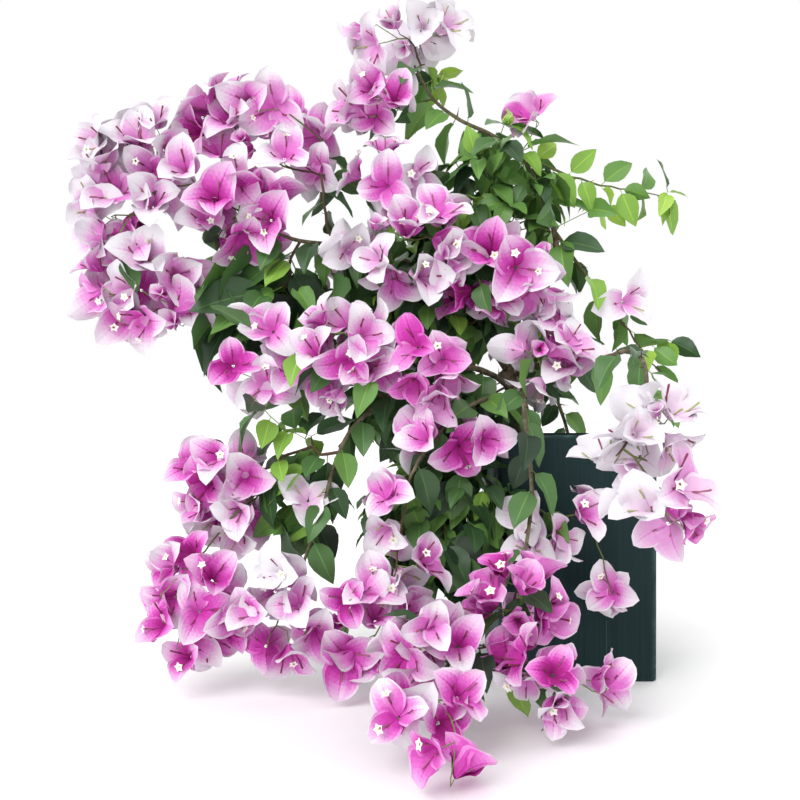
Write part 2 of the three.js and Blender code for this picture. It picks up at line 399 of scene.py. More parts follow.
def makePlanter():
    look = planterLook
    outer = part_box("planter")[1]
    rimHalf, height = outer.x, outer.z
    footHalf = rimHalf - look["taper"]
    wall, floor, bevel, wear = look["wall"], look["floor"], look["edgeBevel"], look["wearReach"]
    mouth, rimBottom = rimHalf - wall - look["rimLip"], height - look["rimDepth"]

    def halfAt(z):
        return footHalf + (rimHalf - footHalf) * z / height

    # the wall's section, from the middle of the underside out, up, over the rim and down inside
    rows = look["wallRows"]
    levels = [bevel, *(wear + (height - 2 * wear) * k / rows for k in range(rows + 1)), height - bevel]
    section = [(halfAt(0) * share, 0.0) for share in (0.3, 0.55, 0.8, 0.985)]
    section += [(halfAt(z), z) for z in levels]
    section += [(rimHalf - bevel, height), (mouth + bevel, height), (mouth, height - bevel),
                (mouth, rimBottom + 0.001), (halfAt(rimBottom) - wall, rimBottom - 0.002)]
    section += [(halfAt(z) - wall, z) for z in (height * 0.6, height * 0.3, floor + 0.001)]
    section += [((halfAt(0) - wall) * share, floor) for share in (0.985, 0.6, 0.3)]
    rings = []
    for half, z in section:
        radius = max(min(look["cornerRadius"], half * 0.3), 0.002)
        rings.append([(x, y, z) for x, y in roundedSquare(half, radius)])
    planter = meshObject("squarePlanter", *ringSkin(rings), [makePlanterMaterial(height)])
    # edge wear and a painted highlight: the corners that stand out carry wear and a painted highlight, the
    # rim and the foot wear alone
    values = []
    for x, y, z in (v.co for v in planter.data.vertices):
        nearer, further = sorted((abs(x), abs(y)))
        corner = 1 - (halfAt(z) - nearer) / look["cornerRadius"]
        rim = 1.0 if z > height - look["rimWear"] else 0.0
        foot = 0.5 if z < look["footWear"] else 0.0
        wearAndHighlight = min(1.0, max(corner, rim, foot))
        values.append(wearAndHighlight if further > halfAt(z) - look["wearAndHighlightDepth"] else 0.0)
    setAttribute(planter, "edgeWear", "FLOAT", values)
    cutter = makeDrainCutters()
    cut = planter.modifiers.new("drains", "BOOLEAN")
    cut.operation = "DIFFERENCE"
    cut.object = cutter
    cut.solver = "EXACT"
    settleMesh(planter)
    bpy.data.meshes.remove(cutter.data)  # the cutters go with it
    return planter


finishPiece(makePlanter(), "planter", "planter")
print("planter made")

soilLook = {
    "clearance": 0.0006,  # left between the soil and the planter's wall
    "cells": 46,
    "lumpScale": 46,
    "lumps": 0.0045,
    "sunk": 0.003,
    "edgeDip": 0.002,
    "highest": 0.006,
    "footTaper": 0.004,
    "footGap": 0.0004,
    "crumbSizes": (0.00126, 0.0042),
    "crumbDensity": 30000.0,  # per square metre
    "crumbFlats": (0.8, 0.55, 0.9, 0.35),
    "crumbReach": 0.965,
    "crumbLift": 0.0006,
    "dark": srgb(44, 31, 22),
    "light": srgb(92, 70, 50),
}


def makeSoilMaterial(name):
    dark, light = soilLook["dark"], soilLook["light"]
    material, tree, shader = newMaterial(name)
    broad = placeGroup(tree, blotchGroup, Size=38.0, Low=0.35, High=0.7)
    fine = placeGroup(tree, blotchGroup, Size=420.0, Low=0.4, High=0.65)
    base = mixColours(tree, fine, mixColours(tree, broad, dark, light), dark, "MULTIPLY")
    setInputs(shader, {"Base Color": base, "Roughness": 0.95, "Normal": bumpFrom(tree, fine, 0.6, 0.002)})
    return material


def makeSoil():
    look = soilLook
    low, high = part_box("soil")
    half = high.x - look["clearance"]
    count = look["cells"]
    side = count + 1
    vertices = []
    for j in range(side):
        for i in range(side):
            x, y = (half * (2 * k / count - 1) for k in (i, j))
            rough = noise.fractal(Vector((x * look["lumpScale"], y * look["lumpScale"], 3.1)), 0.9, 2.1, 4)
            edge = max(abs(x), abs(y)) / half
            z = high.z - look["sunk"] + look["lumps"] * rough - look["edgeDip"] * edge**6
            vertices.append((x, y, min(z, high.z + look["highest"])))
    starts = [j * side + i for j in range(count) for i in range(count)]
    faces = [(a, a + 1, a + side + 1, a + side) for a in starts]
    last = count * side
    border = [*range(side), *range(side + count, last, side), *range(last + count, last - 1, -1),
              *range(last - side, 0, -side)]
    start, total = len(vertices), len(border)
    shrink = 1 - look["footTaper"] / half
    vertices += [(vertices[i][0] * shrink, vertices[i][1] * shrink, low.z + look["footGap"]) for i in border]
    for k in range(total):
        after = (k + 1) % total
        faces.append((border[after], border[k], start + k, start + after))
    faces.append(tuple(range(start + total - 1, start - 1, -1)))
    return meshObject("pottingSoil", vertices, faces, [makeSoilMaterial("pottingSoil")])


def makeLump(name, seed, flat):
    # a small closed lump, for a crumb of soil
    rings = []
    for polar in (math.pi * r / 4 for r in range(1, 4)):
        ring = []
        for angle in around(7):
            across = math.sin(polar)
            direction = Vector((across * math.cos(angle), across * math.sin(angle), -math.cos(polar)))
            swell = 1 + 0.35 * noise.noise(direction * 1.6 + Vector((seed * 7.3, 0, 0)))
            ring.append((direction.x * swell, direction.y * swell, direction.z * swell * flat))
        rings.append(ring)
    return meshObject(name, *ringSkin(rings, [(0, 0, -flat), (0, 0, flat)]))


def readAttribute(tree, name, kind):
    node = addNode(tree, "GeometryNodeInputNamedAttribute", {"Name": name}, data_type=kind)
    return node.outputs["Attribute"]


def randomBetween(tree, least, most, seed):
    node = addNode(tree, "FunctionNodeRandomValue", {2: least, 3: most, "Seed": seed}, data_type="FLOAT")
    return node.outputs[1]


def placeVariants(tree, points, variants, inputs):
    parts = addNode(tree, "GeometryNodeCollectionInfo",
                    {"Collection": variants, "Separate Children": True, "Reset Children": True})
    place = addNode(tree, "GeometryNodeInstanceOnPoints",
                    {"Points": points, "Instance": parts, "Pick Instance": True, **inputs})
    return addNode(tree, "GeometryNodeRealizeInstances", {"Geometry": place})


def dealMaterials(tree, geometry, materials, shade=None):
    # the first goes on everything, and each further one on the faces of its own shade
    for k, material in enumerate(materials):
        inputs = {"Geometry": geometry, "Material": material}
        if k:
            inputs["Selection"] = addNode(tree, "FunctionNodeCompare", {2: shade, 3: k}, data_type="INT",
                                          operation="EQUAL")
        geometry = addNode(tree, "GeometryNodeSetMaterial", inputs)
    return geometry


def makeSprayTree(name, variants, materials):
    # sets a variant on each point, turned and sized by the point's own attributes
    tree, given, result = newTree(name, {"Size": 1.0, "Size spread": 0.1, "Twist": 0.1, "Seed": 1})
    least, most = (combine(tree, way, 1.0, given["Size spread"]) for way in ("SUBTRACT", "ADD"))
    ownSize = combine(tree, "MULTIPLY", readAttribute(tree, "size", "FLOAT"), given["Size"])
    back = combine(tree, "MULTIPLY", given["Twist"], -1.0)
    angle = randomBetween(tree, back, given["Twist"], given["Seed"])
    aroundStem = addNode(tree, "FunctionNodeAxisAngleToRotation", {"Axis": (0, 1, 0), "Angle": angle})
    turn = addNode(tree, "FunctionNodeRotateRotation",
                   {"Rotation": readAttribute(tree, "turn", "QUATERNION"), "Rotate By": aroundStem},
                   rotation_space="LOCAL")
    real = placeVariants(tree, given["Geometry"], variants, {
        "Instance Index": readAttribute(tree, "shape", "INT"),
        "Scale": combine(tree, "MULTIPLY", ownSize, randomBetween(tree, least, most, given["Seed"])),
        "Rotation": turn,
    })
    shade = readAttribute(tree, "tone", "INT")
    for operation, other in (("ADD", readAttribute(tree, "step", "INT")), ("MAXIMUM", 0),
                             ("MINIMUM", len(materials) - 1)):
        shade = combine(tree, operation, shade, other, "FunctionNodeIntegerMath")
    setInputs(result, {"Geometry": dealMaterials(tree, real, materials, shade)})
    return tree


def makeCrumbTree(name, variants, materials):
    # strews the variants over a surface
    tree, given, result = newTree(name, {"Density": 1000.0, "Smallest": 0.001, "Largest": 0.003, "Seed": 4})
    scatter = addNode(tree, "GeometryNodeDistributePointsOnFaces",
                      {"Mesh": given["Geometry"], "Density": given["Density"], "Seed": given["Seed"]})
    turn = addNode(tree, "FunctionNodeRandomValue", {0: (0, 0, 0), 1: (6.28, 6.28, 6.28)},
                   data_type="FLOAT_VECTOR")
    size = randomBetween(tree, given["Smallest"], given["Largest"], given["Seed"])
    real = placeVariants(tree, scatter, variants, {"Scale": size, "Rotation": turn})
    setInputs(result, {"Geometry": dealMaterials(tree, real, materials)})
    return tree


def runTree(thing, tree, values):
    # puts the tree on as a modifier, sets its inputs by identifier and keeps the plain mesh that it makes
    modifier = thing.modifiers.new(tree.name, "NODES")
    modifier.node_group = tree
    for item in tree.interface.items_tree:
        if item.in_out == "INPUT" and item.name in values:
            modifier[item.identifier] = values[item.name]
    settleMesh(thing)
    attributes = thing.data.attributes
    for label in ("step", "tone", "shape", "turn", "size", "thickness"):
        if label in attributes:
            attributes.remove(attributes[label])


def runSpray(thing, makeTree, shapes, materials, values):
    # gathers the shapes as variants, runs the tree on the thing and drops them again
    variants = bpy.data.collections.new(thing.name + "Shapes")
    scene.collection.children.link(variants)
    for shape in shapes:
        scene.collection.objects.unlink(shape)
        variants.objects.link(shape)
    runTree(thing, makeTree(thing.name + "Spray", variants, materials), values)
    for shape in shapes:
        bpy.data.meshes.remove(shape.data)  # its object goes with it
    bpy.data.collections.remove(variants)


def makeCrumbs(soil):
    look = soilLook
    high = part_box("soil")[1]
    half = high.x * look["crumbReach"]
    corners = [(-half, -half, 0), (half, -half, 0), (half, half, 0), (-half, half, 0)]
    crumbs = meshObject("soilCrumbs", corners, [(0, 1, 2, 3)])
    lumps = [makeLump(f"crumb{k}", k, flat) for k, flat in enumerate(look["crumbFlats"])]
    lumpCount = len(lumps[0].data.vertices)
    smallest, largest = look["crumbSizes"]
    runSpray(crumbs, makeCrumbTree, lumps, [makeSoilMaterial("soilCrumb")],
             {"Density": look["crumbDensity"], "Smallest": smallest, "Largest": largest, "Seed": 5})
    # each lump is lifted on to the soil under it
    surface = surfaceOf(soil.data)
    places = np.empty(len(crumbs.data.vertices) * 3, np.float32)
    crumbs.data.vertices.foreach_get("co", places)
    for lump in places.reshape(-1, lumpCount, 3):
        middle = lump.mean(0)
        hit = surface.ray_cast(Vector((middle[0], middle[1], 1)), -up)[0]
        lump[:, 2] += (hit.z if hit else high.z) + look["crumbLift"]
    crumbs.data.vertices.foreach_set("co", places)
    return crumbs


soil = makeSoil()
finishPiece(makeCrumbs(soil), "soil")
finishPiece(soil, "soil", "soil")
print("soil filled in")

limbLook = {
    "ringStep": 0.005,
    "trunkStep": 0.006,
    "trunkSections": 12,
    "trunkTopGap": 0.006,  # the last section lies this far under the trunk's top
    "trunkBand": 0.009,  # half the height that a section takes its vertices from
    "lobeReach": 1.9,  # no lobe of the root flare stands out further, in radii
    "ringGap": 0.013,  # less than this lies between two vertices of one packed ring
    "caneSides": 12,
    "trunkSides": 44,
    "ridge": 0.09,  # depth of the bark's ridges, as a share of the radius
    "trunkRidge": 0.117,
    "grain": (2.1, 38),  # how fine the ridges are round a limb and along it
    "footSwell": 1.08,  # a cane's foot against its third ring, on the trunk and on the top cane
    "sideSwell": 1.06,
    "tipTaper": 0.72,
    "knotGap": 0.034,
    "knotWidth": 0.006,
    "knotSwell": 0.22,
    "shootGreen": 0.75,  # how green the young shoots' bark is at the foot
    "greenGain": 0.35,  # how much greener each cane's bark is at the tip
    "greenest": 0.85,
    "bark": srgb(104, 88, 68),
    "barkDark": srgb(52, 42, 32),
    "barkPale": srgb(148, 136, 112),
    "barkGreen": srgb(96, 104, 62),
    "gritCover": 0.35,
}
sideCanes = ("cane_right_shoot", "cane_right_droop")  # these spring from the top cane


def makeBarkMaterial():
    look = limbLook
    material, tree, shader = newMaterial("fissuredBark")
    fissures = placeGroup(tree, streakGroup, Across=900.0, Along=130.0, Contrast=1.0)
    patches = placeGroup(tree, blotchGroup, Size=60.0, Low=0.42, High=0.68)
    grit = placeGroup(tree, blotchGroup, Size=700.0, Low=0.35, High=0.7)
    young = addNode(tree, "ShaderNodeAttribute", attribute_name="young").outputs["Fac"]
    base = mixColours(tree, fissures, look["barkDark"], look["bark"])
    base = mixColours(tree, patches, base, look["barkPale"])
    base = mixColours(tree, young, base, look["barkGreen"])
    base = mixColours(tree, combine(tree, "MULTIPLY", grit, look["gritCover"]), base, look["barkDark"])
    setInputs(shader, {"Base Color": base, "Roughness": 0.85, "Normal": bumpFrom(tree, fissures, 0.5, 0.001)})
    return material


def smoothPath(points, step):
    # a Catmull-Rom curve through rows of x, y, z, radius, cut into even steps
    rows = np.array(points, float)
    rows = np.vstack([2 * rows[0] - rows[1], rows, 2 * rows[-1] - rows[-2]])
    fine = []
    for k in range(1, len(rows) - 2):
        a, b, c, d = rows[k - 1:k + 3]
        for t in np.linspace(0, 1, 12, endpoint=False):
            fine.append(0.5 * (2 * b + (c - a) * t + (2 * a - 5 * b + 4 * c - d) * t**2
                               + (3 * b - a - 3 * c + d) * t**3))
    fine = np.array(fine + [rows[-2]])
    run = np.concatenate([[0], np.cumsum(np.linalg.norm(np.diff(fine[:, :3], axis=0), axis=1))])
    even = np.linspace(0, run[-1], max(2, int(round(run[-1] / step)) + 1))
    return np.stack([np.interp(even, run, fine[:, k]) for k in range(4)], axis=1)


def ringRows(nodeName):
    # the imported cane's rings of vertices, each as centre and radius
    points = np.array(sorted({tuple(round(c, 5) for c in v.co) for v in cadNodes[nodeName].data.vertices}))
    left = list(range(len(points)))
    rows = []
    while left:
        group = [left.pop()]
        for member in group:  # the group grows while it is gone through
            near = [i for i in left if np.linalg.norm(points[i] - points[member]) < limbLook["ringGap"]]
            left = [i for i in left if i not in near]
            group += near
        centre = points[group].mean(0)
        rows.append(np.array([*centre, np.linalg.norm(points[group] - centre, axis=1).mean()]))
    return rows


def trunkRows():
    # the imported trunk's level sections
    look = limbLook
    low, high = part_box("trunk")
    points = np.array([v.co for v in cadNodes["trunk"].data.vertices])
    rows = []
    for z in np.linspace(low.z, high.z - look["trunkTopGap"], look["trunkSections"]):
        near = points[np.abs(points[:, 2] - z) < look["trunkBand"]]
        middle = (near.min(0) + near.max(0)) / 2
        rows.append((middle[0], middle[1], z, np.linalg.norm(near[:, :2] - middle[:2], axis=1).mean()))
    return rows


def gapBetween(row, other):
    return np.linalg.norm(row[:3] - other[:3])


def nearestOn(path, row):
    return path[np.argmin(np.linalg.norm(path[:, :3] - row[:3], axis=1))]


def caneLine(name):
    # from the nearest point of the trunk or parent cane, ring by ring to the tip
    parentLine = caneLines["cane_top"] if name in sideCanes else trunkLine
    swell = limbLook["sideSwell" if name in sideCanes else "footSwell"]
    left = ringRows(name)
    first = min(left, key=lambda row: gapBetween(nearestOn(parentLine, row), row))
    foot = nearestOn(parentLine, first).copy()
    ordered = [foot]
    while left:
        k = min(range(len(left)), key=lambda i: gapBetween(left[i], ordered[-1]))
        ordered.append(left.pop(k))
    foot[3] = ordered[1][3] = min(ordered[1][3], ordered[2][3] * swell)
    ordered[-1][3] = ordered[-2][3] * limbLook["tipTaper"]
    return smoothPath(ordered, limbLook["ringStep"])


trunkLine = smoothPath(trunkRows(), limbLook["trunkStep"])
caneLines = {}
for name in (*sorted(n for n in cadNodes if n.startswith("cane_") and n not in sideCanes), *sideCanes):
    caneLines[name] = caneLine(name)


def limbMesh(path, sides, ridge, seed, ripe, radiusAt=None):
    # a closed tube along the path with ridged bark and a knot now and then, and how green each vertex is
    look = limbLook
    grainRound, grainAlong = look["grain"]
    places = [Vector(row[:3]) for row in path]
    side = Vector((1, 0, 0))
    run = 0.0
    rings, green = [], []
    for k, place in enumerate(places):
        ahead = (places[min(k + 1, len(places) - 1)] - places[max(k - 1, 0)]).normalized()
        side = (side - ahead * side.dot(ahead)).normalized()
        across = ahead.cross(side)
        if k:
            run += (place - places[k - 1]).length
        knotNumber, share = divmod(run / look["knotGap"], 1)
        knot = math.exp(-(share - 0.5) ** 2 / look["knotWidth"])
        ring = []
        for angle in around(sides):
            direction = side * math.cos(angle) + across * math.sin(angle)
            radius = radiusAt(k, direction) if radiusAt else path[k][3]
            grain = Vector((math.cos(angle) * grainRound, math.sin(angle) * grainRound,
                            run * grainAlong + seed * 5.7))
            knob = max(0.0, math.cos(angle - seed - 2.4 * knotNumber))
            relief = 1 + ridge * noise.fractal(grain, 0.8, 2.0, 3) + look["knotSwell"] * knot * knob
            ring.append(place + direction * radius * relief)
        rings.append(ring)
        green += [ripe(run)] * sides
    return ringSkin(rings, [places[0], places[-1]]), green + [ripe(0), ripe(run)]


def makeLimbs():
    look = limbLook
    surface = surfaceOf(cadNodes["trunk"].data)
    seen = {}

    def trunkRadius(k, direction):
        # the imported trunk's own surface, or where it gives none, that of the ring below
        flat = Vector((direction.x, direction.y, 0)).normalized()
        place = Vector(trunkLine[k][:3])
        place.z = max(place.z, trunkLine[0][2] + 0.0006)
        hit, _, _, distance = surface.ray_cast(place, flat, 0.05)
        key = round(math.atan2(direction.y, direction.x), 2)
        if hit is not None and distance < trunkLine[k][3] * look["lobeReach"]:
            seen[key] = distance
        return seen.get(key, trunkLine[k][3])

    parts = [limbMesh(trunkLine, look["trunkSides"], look["trunkRidge"], 0.4, lambda run: 0.0, trunkRadius)]
    for number, (name, path) in enumerate(sorted(caneLines.items())):
        fresh = look["shootGreen"] if name in sideCanes else 0.0
        length = len(path) * look["ringStep"]
        parts.append(limbMesh(path, look["caneSides"], look["ridge"], number * 1.3 + 1,
                              lambda run: min(look["greenest"], fresh + look["greenGain"] * run / length)))
    vertices, faces = [], []
    for skin, _ in parts:
        addPart(vertices, faces, skin)
    limbs = meshObject("barkedLimbs", vertices, faces, [makeBarkMaterial()])
    setAttribute(limbs, "young", "FLOAT", [value for _, green in parts for value in green])
    return limbs


finishPiece(makeLimbs(), "bark", "trunk", *caneLines)
print("trunk and", len(caneLines), "canes made")

# how each mass flowers: its shade from 0 (deepest) to 10 (white), the size of its flowers, how far apart they
# sit and how leafy its twigs are, then where needed the shades that it fades by towards x, y and z, and the
# pale margin of its bracts
# the shades are partly the flowers' own colour and partly painted shade: the masses low at the front, which
# stand in the plant's own shade, are set deeper than the high ones
bloomLook = {
    "bloom_tip": (7.8, 1.02, 1.05, 0.2, (0.84, 0, 0.28)),
    "bloom_high": (6.0, 1.06, 1.08, 0.5),
    "bloom_crest": (5.4, 1.16, 1.15, 0.04),
    "bloom_left_heart": (4.6, 1.14, 1.2, 0.3),
    "bloom_left_edge": (6.8, 1.14, 1.2, 0.1, (-1.04, 0, 2.34)),
    "bloom_left_drop": (6.0, 1.1, 1.2, 0.3),
    "bloom_shoulder": (6.2, 1.02, 1.3, 1.1),
    "bloom_brow": (6.6, 1.0, 1.5, 1.9),
    "bloom_cheek": (7.8, 1.02, 1.35, 1.1),
    "bloom_column": (6.4, 1.02, 1.36, 1.3, (-1.4, 0, 0)),
    "bloom_right_high": (5.2, 1.12, 1.28, 1.0, (1.8, 0, 0)),
    "bloom_right_low": (7.2, 1.08, 1.34, 0.9, (1.4, 0, -0.42)),
    "bloom_single": (4.4, 1.0, 1.2, 0.1, (0, 0, 0), "narrow"),
    "bloom_left_mid": (4.8, 1.0, 1.5, 1.2),
    "bloom_heart_left": (5.6, 0.98, 1.12, 0.8),
    "bloom_heart_right": (4.4, 0.98, 1.12, 0.8, (0, 0, -1.6), "narrow"),
    "bloom_funnel": (4.2, 1.03, 1.15, 0.35),
    "bloom_left_soft": (6.4, 1.02, 1.02, 0.1),
    "bloom_low_left": (4.6, 0.96, 1.14, 0.2),
    "bloom_low_mid": (6.0, 0.96, 1.14, 0.5, (0, 0, 3.0)),
    "bloom_low_right": (5.8, 0.96, 1.14, 0.6),
    "bloom_column_low": (6.2, 0.98, 1.2, 0.6, (0, 0, -1.8)),
    "bloom_front_left": (4.0, 0.9, 1.14, 2.1),
    "bloom_front_top": (3.2, 0.88, 1.14, 2.1, (0, 0, 0), "narrow"),
    "bloom_front_right": (4.0, 0.9, 1.18, 2.1, (0, 0, -1.8)),
    "bloom_front_low": (3.4, 0.9, 1.04, 1.6),
    "bloom_front_tip": (3.2, 0.78, 0.92, 0.1, (0, 0, 0), "narrow"),
    "bloom_pot_low": (5.4, 0.88, 1.2, 0.0),
    "bloom_pot_mid": (6.4, 0.9, 1.8, 0.1),
    "bloom_pot_high": (7.4, 0.88, 1.3, 0.5, (0, 0, -1.8)),
    "bloom_near_high": (9.6, 0.9, 0.95, 0.0, (-4.6, 0, 0.92), "narrow"),
    "bloom_near_low": (8.8, 0.88, 0.95, 0.05, (-4.6, 0, 0), "narrow"),
    "back_high": (5.2, 1.0, 1.5, 0.1, (0, 0, 1.5)),
    "back_left": (5.6, 1.0, 1.4, 0.1, (-1.5, 0, 0)),
    "back_right": (4.8, 0.98, 1.7, 0.1, (0, 0, 1.5)),
    "back_middle": (4.4, 0.98, 1.6, 0.1, (0, 0, 1.5)),
    "back_low": (4.6, 0.95, 1.4, 0.1, (0, 0, 1.5)),
}
# single flowers: the mass each hangs in, its place in shares of the mass's half size, its shade and its size
loneFlowers = [
    ("bloom_crest", (-0.33, -0.2, -1.0), 4.8, 1.1),
    ("bloom_crest", (0.15, 0.3, -0.8), 5.6, 1.1),
    ("bloom_crest", (0.67, -0.2, -1.05), 6.8, 1.08),
    ("bloom_left_heart", (-0.9, 0.0, 0.75), 6.6, 1.1),
    ("leaf_droop", (-0.77, -0.1, 0.53), 8.0, 0.92),
    ("leaf_low_left", (0.15, -0.9, -0.41), 9.6, 0.9),
]
flowerLook = {
    "petal": 0.0375,  # length of a bract
    "frontLayer": (0.0225, -0.45),  # the gaps between its flowers and how much they face along y
    "backLayer": (0.033, 0.3),
    "frontLimit": 0.15,  # the surface is at the front where its normal's y is below this
    "surfaceTries": 900,
    "facing": (0.75, 0.15, 0.65),  # how much a flower faces out, up and just anywhere
    "insideGap": 0.031,
    "insideDepth": 0.019,
    "insideTries": 500,
    "insideFacing": (0.5, -0.3, 0.8),  # how much a flower in there faces out, along y and just anywhere
    "loneFacing": (-0.8, 0.5),  # how much a single one faces along y and just anywhere
    "sink": 0.014,  # how far a flower's base lies inside its mass
    "sinkRange": (0.4, 1.8),
    "paintedShadeLift": 0.3,  # painted light: how many shades paler the flowers that stand in shade are painted, against their shade
    "edgeSink": 0.012,
    "toneSpread": 1.25,  # how many shades flowers of one mass differ by, and the bracts of one flower
    "bractSpread": 0.65,
    "openAngle": (30, 68),  # in degrees, as its spread is
    "angleSpread": 6,
    "turnSpread": 0.12,  # in radians round the flower
    "flowerRange": (0.88, 1.12),
    "bractRange": (0.93, 1.07),
    "budShare": 0.09,
    "budShade": 1.5,  # how many shades deeper a bud is
    "budSize": 0.55,
    "budOpening": 0.35,
    "groundGap": 0.004,
    "bractGap": 0.0012,  # from the flower's base to a bract's, and from the bract to its tube
    "tubeLength": 0.0165,
    "tubeRange": (0.85, 1.15),
    "tubeRoot": 0.27,  # how far up its bract a tube springs
    "tubeLean": (0.62, 0.6, 0.1),  # how much it runs along the bract, along the flower and just anywhere
    "greenTubesFrom": 7.5,  # half of the tubes in flowers paler than this are green
    "fadedTubes": 0.35,
    "starShare": 0.2,
    "stalk": 0.014,
    "stalkLoss": 0.8,
    "stalkRadius": 0.00045,
    "star": 0.0052,
}
# how each mass bears leaves: spacing of its shoots, leaf length, shade from 0 (oldest) to 5 (youngest) and
# the joints from one leaf to the next
leafHabit = {
    "core_high": (0.023, 0.060, 2.0, 1),
    "core_mid": (0.021, 0.064, 1.6, 1),
    "core_low": (0.021, 0.060, 1.5, 1),
    "leaf_top": (0.032, 0.052, 2.5, 1),
    "leaf_right_high": (0.031, 0.060, 2.3, 1),
    "leaf_shoot": (0.050, 0.048, 4.0, 3),
    "leaf_droop": (0.052, 0.052, 2.6, 2),
    "leaf_left": (0.029, 0.092, 1.5, 1),
    "leaf_low_left": (0.025, 0.060, 2.0, 1),
    "back_high": (0.028, 0.056, 2.2, 1),
    "back_left": (0.028, 0.056, 2.3, 1),
    "back_right": (0.028, 0.052, 2.3, 1),
    "back_middle": (0.028, 0.054, 1.9, 1),
    "back_low": (0.028, 0.052, 2.0, 1),
}
otherHabit = (0, 0.034, 2.0, 0)  # the same for a cane's own shoot in a mass of blossom
leafLook = {
    "shootTries": 2600,
    "tuck": 0.015,  # how far shoots end inside the mass's outline
    "heading": (0.7, -0.25, 0.35),  # how much a shoot heads out, up and just anywhere
    "clearFrom": 0.004,  # the room over each flower's base that leaves keep out of
    "clearTo": 0.036,
    "clearAside": 0.02,
    "sizeRange": (0.82, 1.1),
    "tipRange": (0.5, 0.75),  # the same for the young leaves at a tip
    "toneSpread": 0.95,
    "tipLeaves": 2,
    "turn": 137.5,  # degrees round the stem from one leaf to the next
    "lean": (0.35, 0.7, 0.25),  # how much a leaf runs along its stem, away from it and out of the crown
    "face": (0.5, 0.75, 0.35),  # how much it faces up, out of the crown and just anywhere
    "hang": 0.62,
    "groundGap": 0.004,
    "overCrown": 0.02,  # how far a leaf may reach beyond all masses
    "flowerTwigLeaf": (0.036, 0.054),
}
growthLook = {
    "step": 0.0115,
    "detour": 0.28,  # how much a long way round counts against a place to branch from
    "tipRadius": 0.00055,
    "branchPower": 2.5,
    "leave": (0.45, 0.55, 0.34),  # how a twig leaves its joint: along that, towards its end, and how far
    "arrive": (0.6, 0.4, 0.3),  # the same where it ends, its own way
    "wander": 0.0016,
    "groundRoom": 0.005,
    "thinning": 0.96,
    "barkRadii": (0.0013, 0.0008),  # a twig is brown from the first, and half green from the second
    "leaderShare": 0.8,  # how far a cane's own shoot runs on across the mass that it enters
    "leaderStray": 0.4,  # how much mere distance counts beside the way straight on
    "leaderGround": 0.02,
    "seed": 20,
}
rng = random.Random(growthLook["seed"])
skeleton = []  # the joints of the wood and the twigs, each with its place, parent, way along, radius and run
sites = []  # the flowers and shoots that the twigs grow to
leaders = []  # the canes' own tips


def perHalf(offset, half, power=1):
    return Vector(o / h**power for o, h in zip(offset, half))


def crowded(place, others, spacing):
    return any((place - other).length < spacing for other in others)


class massShape:
    # a packed mass as a surface to sample
    def __init__(self, name):
        mesh = cadNodes[name].data
        self.name = name
        self.points = [v.co.copy() for v in mesh.vertices]
        self.corners = [tuple(p.vertices) for p in mesh.polygons]
        self.areas = [p.area for p in mesh.polygons]
        self.surface = surfaceOf(mesh)
        self.low, self.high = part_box(name)
        self.centre = (self.low + self.high) / 2
        self.half = (self.high - self.low) / 2

    def holds(self, place, margin=0.0):
        near, normal, _, distance = self.surface.find_nearest(place)
        return (near - place).dot(normal) > 0 and distance >= margin

    def boxPlace(self):
        return Vector(rng.uniform(a, b) for a, b in zip(self.low, self.high))

    def surfacePlace(self):
        a, b, c = (self.points[i] for i in rng.choices(self.corners, self.areas)[0])
        u, v = rng.random(), rng.random()
        if u + v > 1:
            u, v = 1 - u, 1 - v
        place = a + (b - a) * u + (c - a) * v
        flat = (b - a).cross(c - a).normalized()
        swell = perHalf(place - self.centre, self.half, 2).normalized()
        return place, (flat * 0.4 + swell * 0.6).normalized()


def randomUnit():
    while True:
        v = Vector(rng.uniform(-1, 1) for _ in range(3))
        if 0.05 < v.length <= 1:
            return v.normalized()


def turnOf(length, upper):
    # the turn that lays Y along length and Z towards upper
    y = length.normalized()
    z = upper - y * upper.dot(y)
    if z.length < 1e-5:
        z = y.orthogonal()
    z.normalize()
    return Matrix((y.cross(z), y, z)).transposed().to_quaternion()


def outFrom(axis, angle):
    # the way out from the axis at an angle round it
    side = axis.orthogonal().normalized()
    return side * math.cos(angle) + axis.cross(side) * math.sin(angle)


def addFlower(name, base, axis, tone, margin, size, leafy):
    # a twig that hangs turns up into an upright flower on a short stalk
    stalk = flowerLook["stalk"] * (1 - flowerLook["stalkLoss"] * max(0.0, axis.z))
    site = SimpleNamespace(kind="flower", mass=name, place=base - axis * stalk, arrive=axis, base=base,
                           axis=axis, tone=tone, margin=margin, size=size, leafy=leafy)
    sites.append(site)
    return site


def setBracts(site):
    # three bracts round the flower's axis, lifted clear of the ground where they would reach it
    look = flowerLook
    axis = site.axis
    site.bud = rng.random() < look["budShare"]
    share = look["budSize"] if site.bud else 1
    size = look["petal"] * site.size * rng.uniform(*look["flowerRange"]) * share
    wide = rng.uniform(*look["openAngle"]) * (look["budOpening"] if site.bud else 1)
    spin = rng.uniform(0, 2 * math.pi)
    site.bracts = []
    lowest = 0.0
    for angle in around(3):
        radial = outFrom(axis, spin + angle + rng.gauss(0, look["turnSpread"]))
        opening = math.radians(wide + rng.gauss(0, look["angleSpread"]))
        length = axis * math.cos(opening) + radial * math.sin(opening)
        upper = axis * math.sin(opening) - radial * math.cos(opening)
        site.bracts.append((radial, length, upper, size * rng.uniform(*look["bractRange"])))
        lowest = min(lowest, length.z * size * 1.1 - 0.006)
    lift = up * max(0.0, look["groundGap"] - (site.base.z + lowest))
    site.base = site.base + lift
    site.place = site.place + lift
    if site.bud:
        site.tone -= look["budShade"]


